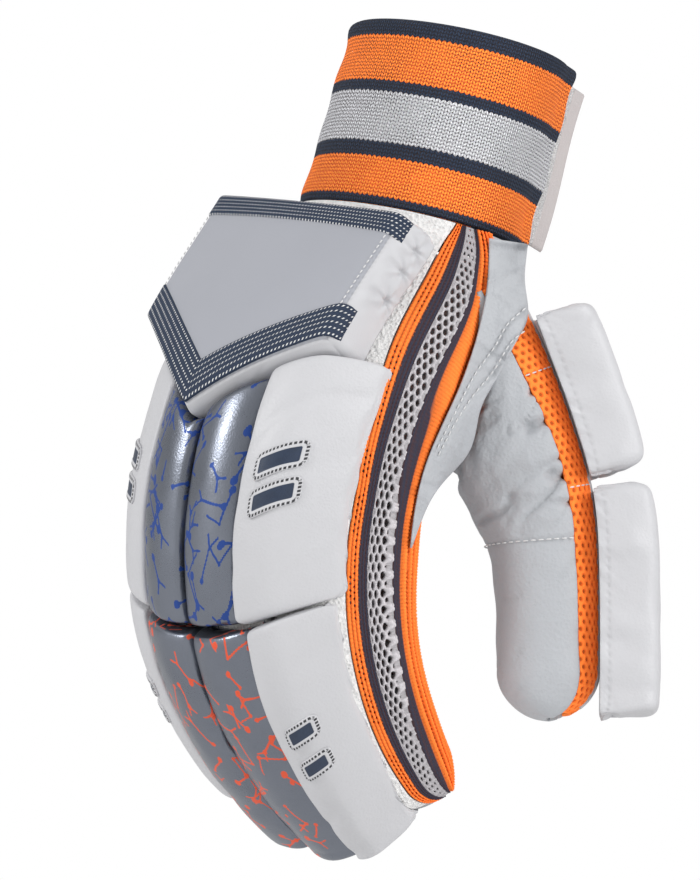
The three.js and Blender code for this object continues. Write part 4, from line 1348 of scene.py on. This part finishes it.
# The finger rolls: two to a finger, sharing one arch over the hand.
roll = dict(
    thick=17, crown=40.5, overhang=2, facet=5.5, gap=0.3, breakGap=0.9, edgeUpper=0.43, edgeLower=0.5,
    lobe=2.4, split=0.656, splitRise=9, tipOver=4, tipCorner=8
)
rollSize = dict(
    white=dict(height=15, flat=17, top=4.6, corner=2.0, step=0.5, fill=0.9),
    silver=dict(height=15, flat=13, top=3.8, corner=1.8, step=0.36, fill=0.85)
)


# The outer rolls' faces fall away from a soft ridge towards the hand's side.
def rollFace(finger, x, s, u):
    at = handAlong(s)
    half = hand["width"] / 2 * read(handShape, "width", np.minimum(at, 1)) + roll["overhang"]
    arch = roll["crown"] * read(rollArch, "crown", at) * np.sqrt(np.maximum(1 - (x / half) ** 2, 0))
    outer = (
        (0.42 - u) * 2 if finger["end"] == 1 else (u - 0.58) * 2 if finger["start"] == -1 else -1
        + 0 * u
    )
    fall = roll["facet"] * (outer + np.sqrt(outer**2 + 0.008)) / 2
    return -arch - finger["rise"] - roll["lobe"] * bump(u) + fall


# The rolls' underside: just off the back's skin, a little further off over the tips.
def rollBase(finger, x, s):
    capS = capStart(finger)
    past = np.clip((s - capS) / hand["tipRadius"], 0, 1)
    clear = hand["seamGap"] + 0.5 * ease((s - capS + 12) / 16)
    return handSkin(angleAt(x, s), s, np.sqrt(1 - 0.92 * past**2))[1] - clear


# A roll's outline: shares across and along it as a place on the hand.
def rollOutline(finger, upper, u, v):
    tipEnd = tipS(finger) + roll["tipOver"]
    half = halfWidth(webS if upper else (tipEnd + webS) / 2)
    outer = half * 0.925
    edge = 2 * half * (roll["edgeUpper"] if upper else roll["edgeLower"])
    a = outer if finger["end"] == 1 else finger["end"] * edge - roll["gap"] / 2
    b = -outer if finger["start"] == -1 else finger["start"] * edge + roll["gap"] / 2
    x = lerp(a, b, u)
    split = hand["cuffHeight"] + roll["split"] * hand["length"] - roll["splitRise"] * (x / half) ** 2
    start = guardEnd(x) + roll["breakGap"] if upper else split + roll["breakGap"] / 2
    end = split - roll["breakGap"] / 2 if upper else tipEnd - roll["tipCorner"] * (x / half) ** 4
    s = lerp(start, end, v)
    narrow = 0 if upper else 0.1 * ((s - split) / (hand["length"] * (1 - roll["split"]))) ** 3
    return x * (1 - narrow), s


def rollPlace(finger, upper):
    def place(u, v, q):
        x, s = rollOutline(finger, upper, u, v)
        high = rollFace(finger, x, s, u)
        base = np.minimum(rollBase(finger, x, s), high + roll["thick"] + finger["rise"])
        return handPoint(x, base - (base - high) * q, s)
    return place


# Puckers run up from the sewn edge, folds gather at the corners, and the top is smooth.
def rollRelief(seed, motifs=None, amount=1.0):
    def relief(down, over, edge):
        around = down + over * 0.9
        low = np.exp(-edge / 3)
        pucker = (noise(around, edge * 0.3, 2.4, seed) - 0.5) * low
        wall = 1 - ease((edge - 10) / 5)
        corner = np.exp(-np.minimum(down, down.max() - down) / 9) * wall
        fold = creases(around, edge, 0.9, 5, seed + 3, 3, 0.14)
        top = cloudy(over, down, 16, seed + 5)
        ripple = (noise(over * 0.4, down, 6, seed + 8) - 0.5) * wall
        dent = creases(over, down, 1.3, 13, seed + 9, 2.2, 0.2)
        lift = amount * (0.9 * pucker - 0.8 * fold * corner + 0.5 * top + 0.9 * ripple - 0.55 * dent)
        long = down.max()
        pulled = tackFolds(np.minimum(down, long - down), edge, [(3.5, 3.5, 0.55 * amount)], seed + 14)
        lift = lift + pulled * (over > 0)
        # The crease mask marks the corner folds and the tack pit, where the material paints shade.
        values = {"crease": np.clip(fold * corner * 0.8 + np.clip(-pulled, 0, 1) * 0.4, 0, 1)}
        if motifs:
            values["print"] = motifs(down, over)
        elif amount > 1:
            # Stitch holes along the sewn edge: a groove in the skin, and painted shade through the crease
            # mask.
            line = np.exp(-(((edge - 2.6) / 0.45) ** 2))
            notches = 0.5 + 0.5 * np.cos(around * 2 * math.pi / 2.6)
            lift = lift - 0.5 * line * notches
            values["crease"] = np.clip(values["crease"] + line * notches, 0, 1)
        return lift, values
    return relief


# A scattered print, laid out at random for each roll: tadpoles, forks, hooks and dots.
def printMotifs(seed, count):
    def motifs(down, over):
        rng = np.random.default_rng(seed)
        wide, long = over.max(), down.max()
        mask = np.zeros_like(over)
        warpU = over + 0.9 * (noise(over, down, 4, seed + 1) - 0.5)
        warpV = down + 0.9 * (noise(over, down, 4, seed + 2) - 0.5)

        def bar(x0, y0, x1, y1, thick):
            length = max((x1 - x0) ** 2 + (y1 - y0) ** 2, 1e-6)
            t = np.clip(((warpU - x0) * (x1 - x0) + (warpV - y0) * (y1 - y0)) / length, 0, 1)
            far = np.hypot(warpU - x0 - t * (x1 - x0), warpV - y0 - t * (y1 - y0))
            return 1 - ease((far - thick + 0.15) / 0.3)

        for k in range(count):
            x, y = rng.uniform(0.16, 0.84) * wide, (k + rng.uniform(0, 1)) / count * long
            turn, reach = rng.uniform(0, 2 * math.pi), rng.uniform(4, 8.5)
            tail = x + reach * math.cos(turn), y + reach * math.sin(turn)
            mask = np.maximum(mask, bar(x, y, x, y, rng.uniform(0.6, 1.05)))
            mask = np.maximum(mask, bar(*tail, *tail, rng.uniform(0.3, 0.8)))
            if rng.random() < 0.82:
                mask = np.maximum(mask, bar(x, y, *tail, 0.27))
            if rng.random() < 0.5:
                for lean in (-0.7, 0.7):
                    fork = tail[0] + 2.6 * math.cos(turn + lean), tail[1] + 2.6 * math.sin(turn + lean)
                    mask = np.maximum(mask, bar(*tail, *fork, 0.25))
            elif rng.random() < 0.6:
                turn += rng.choice([-1, 1]) * rng.uniform(1.2, 2.0)
                hook = tail[0] + 0.7 * reach * math.cos(turn), tail[1] + 0.7 * reach * math.sin(turn)
                mask = np.maximum(mask, bar(*tail, *hook, 0.25))
        return mask
    return motifs


motifCount = dict(upper=62, lower=58)
for order, finger in enumerate(fingers):
    for upper in (True, False):
        level = "upper" if upper else "lower"
        kind = rollSize["silver" if finger["silver"] else "white"]
        middles = np.array([[0, 0.5], [1, 0.5], [0.5, 0], [0.5, 1]])
        x, s = rollOutline(finger, upper, middles[:, 0], middles[:, 1])
        width, length = float(x[0] - x[1]), float(s[3] - s[2])
        size = dict(kind, width=width, length=length)
        seed = 100 + 20 * order + (0 if upper else 10)
        motifs = printMotifs(seed, motifCount[level]) if finger["silver"] else None
        material = ("silverBlue" if upper else "silverRed") if finger["silver"] else "white"
        makePad(
            f"{finger['name']}_pad_{level}", rollPlace(finger, upper), size, rollRelief(seed, motifs),
            replaces=[f"{finger['name']}_roll_{level}"],
            slot="silver_leather" if finger["silver"] else "white_leather", material=material,
        )
print("finger rolls made")

# Windows on the outer rolls: sizes and places are shares of the roll.
patchSets = [
    dict(upper=True, width=0.48, rows=[0.425, 0.56], height=0.105),
    dict(upper=False, width=0.44, rows=[0.38, 0.51], height=0.08),
]
patchCorner = 1.8


# Thin windows on a white roll: each follows the roll's face, with corners cut round.
def patches(finger, spec):
    level = "upper" if spec["upper"] else "lower"
    kind = rollSize["white"]
    a, b = rollOutline(finger, spec["upper"], np.array([0.0, 1.0]), np.array([0.5, 0.5]))[0]
    s0, s1 = rollOutline(finger, spec["upper"], np.array([0.5, 0.5]), np.array([0.0, 1.0]))[1]
    rollWidth, rollLength = abs(a - b), s1 - s0
    place = rollPlace(finger, spec["upper"])
    width, height, corner = spec["width"] * rollWidth, spec["height"] * rollLength, patchCorner
    gx, gy = np.meshgrid(np.linspace(-1, 1, 61), np.linspace(-1, 1, 35))
    for k, row in enumerate(spec["rows"]):
        inX = np.maximum(np.abs(gx) * width / 2 - width / 2 + corner, 0)
        inY = np.maximum(np.abs(gy) * height / 2 - height / 2 + corner, 0)
        squeeze = np.minimum(1, corner / np.maximum(np.hypot(inX, inY), 1e-6))
        px = np.sign(gx) * (np.minimum(np.abs(gx) * width / 2, width / 2 - corner) + inX * squeeze)
        py = np.sign(gy) * (np.minimum(np.abs(gy) * height / 2, height / 2 - corner) + inY * squeeze)
        u, v = 0.5 + px / rollWidth, row + (py + 0.12 * px) / rollLength
        q = padHeight(u, kind["flat"], kind["top"]) * padHeight(
            v, kind["flat"] * rollLength / rollWidth, kind["top"]
        )
        ground = place(u, v, q)
        normal = facing(normalsOf(ground), [0, -1, -0.2])
        qx, qy = np.abs(px) - width / 2 + corner, np.abs(py) - height / 2 + corner
        edge = corner - np.hypot(np.maximum(qx, 0), np.maximum(qy, 0))
        edge = edge - np.minimum(np.maximum(qx, qy), 0)
        run = np.where(qx * height > qy * width, py, px)
        lift = 0.62 - roundedEdge(np.maximum(edge, 0), 0.5) - 0.2 * ease((edge - 1.2) / 0.4)
        outer = ground + normal * lift[..., None]
        inner = ground - normal * 0.3
        node = f"{finger['name']}_roll_{level}_patch_{k + 1}"
        makeSheet(
            f"{finger['name']}_{level}_window_{k + 1}", outer, inner, values={"edge": edge, "run": run},
            lengths=np.stack([px, py], -1), held=None, replaces=[node],
            slot="navy_patch", material="patch",
        )


for finger in edgeFinger.values():
    for spec in patchSets:
        patches(finger, spec)
print("windows made")

# The thumb: leather over its ball, a strip of spacer mesh down each side, cloth under its
# two pads.
thumbPad = dict(thick=17.4, width=36, top=0.13, breakAt=0.5, end=0.99, gap=3, wrap=1.2)
thumbPadSize = dict(width=36, height=17, flat=14, top=3.6, corner=3.0, step=0.55, fill=0.95)
thumbCap = thumbSize["length"] - thumbSize["tip"]
crossSeam, barTack = 84, 0.24


def thumbRun(run, inset=0.0):
    turn = np.maximum(run - thumbCap, 0) / thumbSize["tip"]
    s = np.where(run < thumbCap, run, thumbCap + (thumbSize["tip"] - inset) * np.sin(turn))
    return s, np.abs(np.cos(turn))


# A strip down the thumb between two angles, each a function of the share along it, and
# turnEnd degrees round the tip. What lies inside the hand is cut away.
def thumbStrip(start, end, columns, thick, turnEnd, step):
    last = thumbCap + math.radians(turnEnd) * thumbSize["tip"]
    run, t = np.meshgrid(
        np.linspace(4, last, int((last - 4) / step)), np.linspace(0, 1, columns), indexing="ij"
    )
    gap = hand["seamGap"] / thumbSize["width"]
    grids = []
    for inset in (0, thick):
        s, close = thumbRun(run, inset)
        at = s / thumbSize["length"]
        angle = lerp(start(at) + gap, end(at) - gap, t)
        grids.append(thumbSkin(angle, s, close, inset))
    outside = handDepth(grids[0]) > 0.3
    keep = (outside[:-1, :-1].astype(int) + outside[1:, :-1] + outside[1:, 1:] + outside[:-1, 1:]) > 1
    return grids[0], grids[1], keep, run, t


def meshLine(name, sign=1):
    return lambda at: sign * np.radians(read(thumbShape, name, at))


def thumbLeather():
    front = meshLine("meshFront")
    outer, inner, keep, run, _ = thumbStrip(
        front, lambda at: 2 * math.pi - front(at), 150, sheets["leather"], 88, 0.8,
    )
    ruled = rulerMap(outer)
    across, along = ruled[..., 0], ruled[..., 1]
    web = bump((run - 22) / 62)
    one, two = creases(across, along, 1.15, 6, 121, 4, 0.1), creases(across, along, 1.4, 5, 127, 4, 0.1)
    fold = np.maximum(one, two) * web
    fine = creases(across, along, 0.85, 4, 133, 4, 0.07)
    lift = -2.6 * fold - 0.8 * fine * (0.25 + 0.75 * web)
    lift = lift + 1.6 * web * cloudy(across, along * 0.5, 8, 145) + 0.8 * cloudy(across, along, 18, 144)
    seam = np.exp(-(((run - crossSeam) / 0.7) ** 2))
    lift = np.minimum(lift, 0.6) - 0.5 * seam
    normal = facing(normalsOf(outer), outer - inner)
    # The crease mask marks the folds and the cross seam, where the material paints shade.
    makeSheet(
        "thumb_leather_sheet", outer + normal * lift[..., None],
        inner + normal * np.minimum(lift, 0)[..., None], keep,
        values={"crease": np.clip(fold * 0.9 + fine * 0.5 + seam * 0.5, 0, 1)}, lengths=ruled,
        replaces=["thumb_leather"], slot="palm_leather", material="leather",
    )


# Spacer mesh: rows of round dimples, each row half a step on from the last.
def thumbMesh(name, start, end, node):
    outer, inner, keep, run, t = thumbStrip(start, end, 46, sheets["leather"], 65, 0.34)
    width = np.linalg.norm(outer[:, 0] - outer[:, -1], axis=-1)[:, None]
    across = t * width
    rowPitch, pitch = 2.3, 2.7
    row = np.floor(run / rowPitch)
    far = np.hypot(
        ((across / pitch + 0.5 * (row % 2)) % 1 - 0.5) * pitch, (run / rowPitch % 1 - 0.5) * rowPitch
    )
    dimple = 1 - ease((far - 0.45) / 0.45)
    weave = 0.12 * np.abs(np.sin(run * 4.2)) * np.abs(np.sin(across * 4.6))
    normal = facing(normalsOf(outer), outer - inner)
    lift = weave - 0.75 * dimple - 0.15
    # Depth darkens the dimples as painted shade.
    makeSheet(
        name, outer + normal * lift[..., None], inner, keep, values={"tint": 0, "depth": dimple * 0.62},
        lengths=np.stack([across, run], -1), replaces=[node], slot="thumb_mesh", material="spacer",
    )


def thumbBack():
    outer, inner, keep, _, _ = thumbStrip(
        meshLine("meshBack", -1), meshLine("meshBack"), 20, sheets["backWall"], 50, 1.5,
    )
    makeSheet(
        "thumb_back_sheet", outer, inner, keep, values={"crease": 0}, lengths=rulerMap(outer),
        replaces=["thumb_back_cloth"], slot="white_leather", material="white",
    )


# The thumb's pads stand on its back and wrap a little round its sides.
def thumbPadPlace(start, end):
    def place(u, v, q):
        centre, side, back = thumbFrame(lerp(start, end, v))
        off = (u - 0.5) * thumbPad["width"]
        sink = thumbPad["wrap"] * (np.abs(u - 0.5) * 2) ** 2.4
        rest = thumbSize["back"] + 2 * hand["seamGap"] - sink
        high = (thumbPad["thick"] + sink * 0.45) * q
        return centre + back * (rest + high)[..., None] + side * off[..., None]
    return place


thumbLeather()
thumbMesh("thumb_spacer_outer", meshLine("meshBack"), meshLine("meshFront"), "thumb_mesh_outer")
thumbMesh("thumb_spacer_inner", meshLine("meshFront", -1), meshLine("meshBack", -1), "thumb_mesh_inner")
thumbBack()
long, halfGap = thumbSize["length"], thumbPad["gap"] / 2
thumbPads = dict(
    upper=(thumbPad["top"] * long, thumbPad["breakAt"] * long - halfGap, 233),
    lower=(thumbPad["breakAt"] * long + halfGap, thumbPad["end"] * long, 285),
)
for level, (start, end, seed) in thumbPads.items():
    makePad(
        f"thumb_{level}_bolster", thumbPadPlace(start, end), dict(thumbPadSize, length=end - start),
        rollRelief(seed, amount=1.5), replaces=[f"thumb_pad_{level}"],
        slot="white_leather", material="white",
    )

# The camera stands off by distance and looks at middle, which is given along its own axes.
# PerPixel is the millimetres to a pixel there, and picture the view's size in pixels.
studio = dict(
    azimuth=47, elevation=-8, roll=16, distance=2200, perPixel=0.31, middle=(-34.7, -122.8, 25),
    picture=(700, 880), floor=-0.46, floorHalf=4, skyTop=0.74, skyLow=0.36,
)


# The camera's axes, what it looks at and its place, in millimetres.
def viewFrame():
    az, el, turn = (math.radians(studio[k]) for k in ("azimuth", "elevation", "roll"))
    toCamera = np.array([math.sin(az) * math.cos(el), -math.cos(az) * math.cos(el), math.sin(el)])
    right = np.array([math.cos(az), math.sin(az), 0])
    up = np.cross(toCamera, right)
    imageRight = right * math.cos(turn) + up * math.sin(turn)
    imageUp = up * math.cos(turn) - right * math.sin(turn)
    target = (
        imageRight * studio["middle"][0] + imageUp * studio["middle"][1]
        + toCamera * studio["middle"][2]
    )
    return imageRight, imageUp, toCamera, target, target + toCamera * studio["distance"]


# The palm leather's free edge over the thumb's root. Its outline is given as seen from the
# camera, in pixels, and it lies on what is nearest there: a height field of those surfaces,
# from corner (in pixels) on, spread and smoothed, less the leather's lift.
flap = dict(
    rows=150, columns=48, lift=0.9, wall=1.3, cell=1.0, spread=2, blur=3,
    stitch=1.5, pitch=2.3, thread=0.5, corner=(395, 565), cells=(104, 54), nothing=1e9, proud=1.2,
)
flapLines = dict(
    left=[
        (489, 238), (489, 262), (487, 290), (482, 316), (475, 345), (460, 387), (441, 427), (426, 461),
        (418, 490), (413, 518), (410, 548)
    ],
    right=[
        (528, 244), (527, 260), (522, 277), (528, 300), (532, 322), (515, 340), (508, 360), (492, 387),
        (478, 408), (477, 430), (474, 448), (465, 462), (450, 474), (434, 492), (422, 518), (412, 548)
    ],
    rowA=[(527, 307), (505, 325), (498, 343), (475, 373), (455, 413), (435, 453)],
    rowB=[(526, 330), (511, 341), (503, 355), (494, 371), (473, 395), (456, 421), (438, 456)],
)


def alongLine(line, shares):  # places on a line of pixels, smoothed, and its length
    line = np.array(line, float)
    run = runAlong(line)
    smooth = sampled(line, run, np.linspace(0, run[-1], 60))
    for _ in range(12):
        smooth[1:-1] = (smooth[:-2] + 2 * smooth[1:-1] + smooth[2:]) / 4
    return sampled(smooth, np.linspace(0, 1, 60), shares), run[-1] * studio["perPixel"]


def fromPixels(pixels):  # millimetres right and up from the picture's middle
    pixels = np.asarray(pixels, float)
    wide, high = studio["picture"]
    away = pixels[..., 0] - wide / 2, high / 2 - pixels[..., 1]
    return away[0] * studio["perPixel"], away[1] * studio["perPixel"]


def shifts(grid, reach):  # the grid moved by up to reach cells each way
    for down in range(-reach, reach + 1):
        for over in range(-reach, reach + 1):
            yield np.roll(grid, (down, over), (0, 1))


def piecePoints(name):
    mesh = bpy.data.objects[name].data
    points = np.empty(len(mesh.vertices) * 3)
    mesh.vertices.foreach_get("co", points)
    return points.reshape(-1, 3) / mm


# Builds that height field and gives the function that puts pixels on it.
def flapSurface():
    imageRight, imageUp, toCamera, target, place = viewFrame()
    below = "palm_leather_sheet", "thumb_leather_sheet", "thumb_spacer_outer", "side_border_palm"
    points = np.concatenate([piecePoints(name) for name in below])
    far = (place - points) @ toCamera
    scale = studio["distance"] / far
    a, b = ((points - target) @ imageRight) * scale, ((points - target) @ imageUp) * scale
    corner, shape, nothing = fromPixels(flap["corner"]), flap["cells"], flap["nothing"]
    i = ((b - corner[1]) / flap["cell"]).round().astype(int)
    j = ((a - corner[0]) / flap["cell"]).round().astype(int)
    ok = (i >= 0) & (i < shape[0]) & (j >= 0) & (j < shape[1])
    nearest = np.full(shape, nothing)
    np.minimum.at(nearest, (i[ok], j[ok]), far[ok])
    spread = nearest.copy()
    for shifted in shifts(nearest, flap["spread"]):
        spread = np.minimum(spread, shifted)
    weight, total = np.zeros(shape), np.zeros(shape)
    for shifted in shifts(spread, flap["blur"]):
        weight += shifted < nothing
        total += np.where(shifted < nothing, shifted, 0)
    smooth = np.where(weight > 0, total / np.maximum(weight, 1), nothing)
    level = np.where(spread < nothing, np.minimum(smooth, spread + flap["proud"]), smooth)

    # A pixel's place on the height field, lifted off it towards the camera.
    def onFlap(pixels, off):
        x, y = fromPixels(pixels)
        gj = np.clip((x - corner[0]) / flap["cell"], 0, shape[1] - 1.01)
        gi = np.clip((y - corner[1]) / flap["cell"], 0, shape[0] - 1.01)
        i0, j0 = gi.astype(int), gj.astype(int)
        fi, fj = gi - i0, gj - j0
        low = lerp(level[i0, j0], level[i0, j0 + 1], fj)
        depth = lerp(low, lerp(level[i0 + 1, j0], level[i0 + 1, j0 + 1], fj), fi) - off
        scaled = (depth / studio["distance"])[..., None]
        return (
            place + (imageRight * x[..., None] + imageUp * y[..., None]) * scaled
            - toCamera * depth[..., None]
        )

    return onFlap


def palmFlap():
    onFlap, toCamera = flapSurface(), viewFrame()[2]
    shares = np.linspace(0, 1, flap["rows"])
    left, _ = alongLine(flapLines["left"], shares)
    right, long = alongLine(flapLines["right"], shares)
    side = np.linspace(0, 1, flap["columns"])[None, :]
    pixels = left[:, None] * (1 - side[..., None]) + right[:, None] * side[..., None]
    width = np.linalg.norm(right - left, axis=-1)[:, None] * studio["perPixel"]
    across, along = side * width, shares[:, None] * long + 0 * side
    edge = np.minimum(np.minimum(across, width - across), np.minimum(along, long - along))
    seams = 0 * along
    rowLengths = {}
    for key in ("rowA", "rowB"):
        row, rowLengths[key] = alongLine(flapLines[key], np.linspace(0, 1, 160))
        gap = np.linalg.norm(pixels[:, :, None] - row[None, None], axis=-1).min(-1) * studio["perPixel"]
        seams = np.maximum(seams, np.exp(-((gap / 0.8) ** 2)))
    fold = creases(across, along, 1.2, 5, 231, 3, 0.15)
    soft = cloudy(across, along, 10, 233)
    lift = flap["lift"] - roundedEdge(np.maximum(edge, 0), 0.7) - 0.6 * seams - 0.8 * fold + 0.8 * soft
    lift = lift + 0.25 * (noise(along, across * 0.3, 2.2, 235) - 0.5)
    outer, inner = onFlap(pixels, lift), onFlap(pixels, lift - flap["wall"])
    # The crease mask marks the folds and the stitch rows, where the material paints shade.
    makeSheet(
        "palm_leather_flap", outer, inner, values={"crease": np.clip(0.5 * fold + 0.5 * seams, 0, 1)},
        lengths=np.stack([across, along], -1), held="laid", on=["palm_leather_sheet"],
        slot="palm_leather", material="leather",
    )
    for key, rowLong in rowLengths.items():
        starts = np.arange(0.01, 1 - flap["stitch"] / rowLong, flap["pitch"] / rowLong)
        ends = starts + flap["stitch"] / rowLong
        first, last = (alongLine(flapLines[key], s)[0] for s in (starts, ends))
        out = np.broadcast_to(toCamera, (len(starts), 3))
        ends = (onFlap(pixels, flap["lift"] - 0.25) for pixels in (first, last))
        makeStitches(f"flap_stitches_{key[-1].lower()}", *ends, flap["thread"], "palm_leather", out)


palmFlap()


# A row of stitches across the thumb at a distance down it, between two angles.
def thumbStitches(name, run, first, last, slot):
    pitch, stitch, thick = 2.4, 1.6, 0.5
    angles = np.linspace(first, last, 400)
    s, close = thumbRun(np.full(400, float(run)))
    line = thumbSkin(angles, s, close, 0.0)
    normal = line - thumbSkin(angles, s, close, 1.0)
    line = line + normal * 0.05
    length = runAlong(line)
    starts = np.arange(0.4, length[-1] - stitch, pitch)
    begins, ends = sampled(line, length, starts), sampled(line, length, starts + stitch)
    shown = handDepth(begins) > 0.3
    makeStitches(name, begins[shown], ends[shown], thick, slot, sampled(normal, length, starts)[shown])


seamAngle = meshLine("meshFront")(crossSeam / thumbSize["length"])
thumbStitches("thumb_cross_stitches", crossSeam, seamAngle, 2 * math.pi - seamAngle, "palm_leather")
for label, at in (("top", barTack), ("middle", thumbPad["breakAt"])):
    first, last = meshLine("meshBack")(at), meshLine("meshFront")(at)
    thumbStitches(f"thumb_strip_stitches_{label}", at * thumbSize["length"], first, last, "thumb_mesh")
print("thumb made")


# The studio: a pale floor under the standing glove, a white room and soft lamps.
def studioSetup():
    mesh = bpy.data.meshes.new("studio_floor")
    half, low = studio["floorHalf"], studio["floor"]
    mesh.from_pydata(
        [(x * half, y * half, low) for x, y in ((-1, -1), (1, -1), (1, 1), (-1, 1))], [], [(0, 1, 2, 3)]
    )
    floor = addObject("studio_floor", mesh)
    mesh.materials.append(makeMaterial("pale_floor", lambda start: {
        "Base Color": grain(start, 3, 2).blend((0.8, 0.8, 0.8), (0.84, 0.84, 0.84)),
        "Roughness": grain(start, 9, 2) * 0.1 + 0.75}))
    floor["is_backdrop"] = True
    world = bpy.data.worlds.new("white_room")
    bpy.context.scene.world = world
    world.use_nodes = True
    tree = world.node_tree
    sky = Wire(tree, tree.nodes["Background"].outputs[0])
    way = sky.node("ShaderNodeSeparateXYZ", None, {0: sky.node("ShaderNodeTexCoord")})
    height = Wire(tree, way.socket.node.outputs[2])
    glow = (
        (height * 0.5 + 0.5).smooth(0.1, 0.95) * (studio["skyTop"] - studio["skyLow"])
        + studio["skyLow"]
    )
    seen = sky.node("ShaderNodeLightPath")
    strength = seen * (1 - glow) + glow
    tree.links.new(strength.socket, tree.nodes["Background"].inputs[1])
    tree.nodes["Background"].inputs[0].default_value = (1, 1, 1, 1)
    imageRight, imageUp, toCamera, target, place = viewFrame()
    camera = addObject("photo_camera", bpy.data.cameras.new("photo_camera"))
    camera.data.sensor_fit, camera.data.sensor_width = "AUTO", 36
    camera.data.lens = camera.data.sensor_width * studio["distance"] / (
        studio["picture"][1] * studio["perPixel"]
    )
    camera.data.clip_end = 20
    rows = [[imageRight[k], imageUp[k], toCamera[k], place[k] * mm] for k in range(3)]
    camera.matrix_world = Matrix(rows + [[0, 0, 0, 1]])
    bpy.context.scene.camera = camera
    lamps = [
        ("key_lamp", imageUp * 700 - imageRight * 1250 + toCamera * 700, 9.0, 350),
        ("low_lamp", -imageUp * 900 + imageRight * 250 + toCamera * 800, 4.0, 260),
        ("fill_lamp", imageRight * 1300 + toCamera * 900 + imageUp * 500, 15.0, 900),
    ]
    for name, off, watts, size in lamps:
        lamp = bpy.data.lights.new(name, "AREA")
        lamp.energy, lamp.size = watts, size * mm
        holder = addObject(name, lamp)
        turn = Vector(-off).to_track_quat("-Z", "Y").to_matrix().to_4x4()
        holder.matrix_world = Matrix.Translation(Vector((target + off) * mm)) @ turn
    bpy.context.scene.view_settings.view_transform = "Standard"


studioSetup()
print("studio ready")
sizes = {
    key: [list(map(float, p)) for p in box] for key, box in (("cad", cadBox), ("visual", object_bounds()))
}
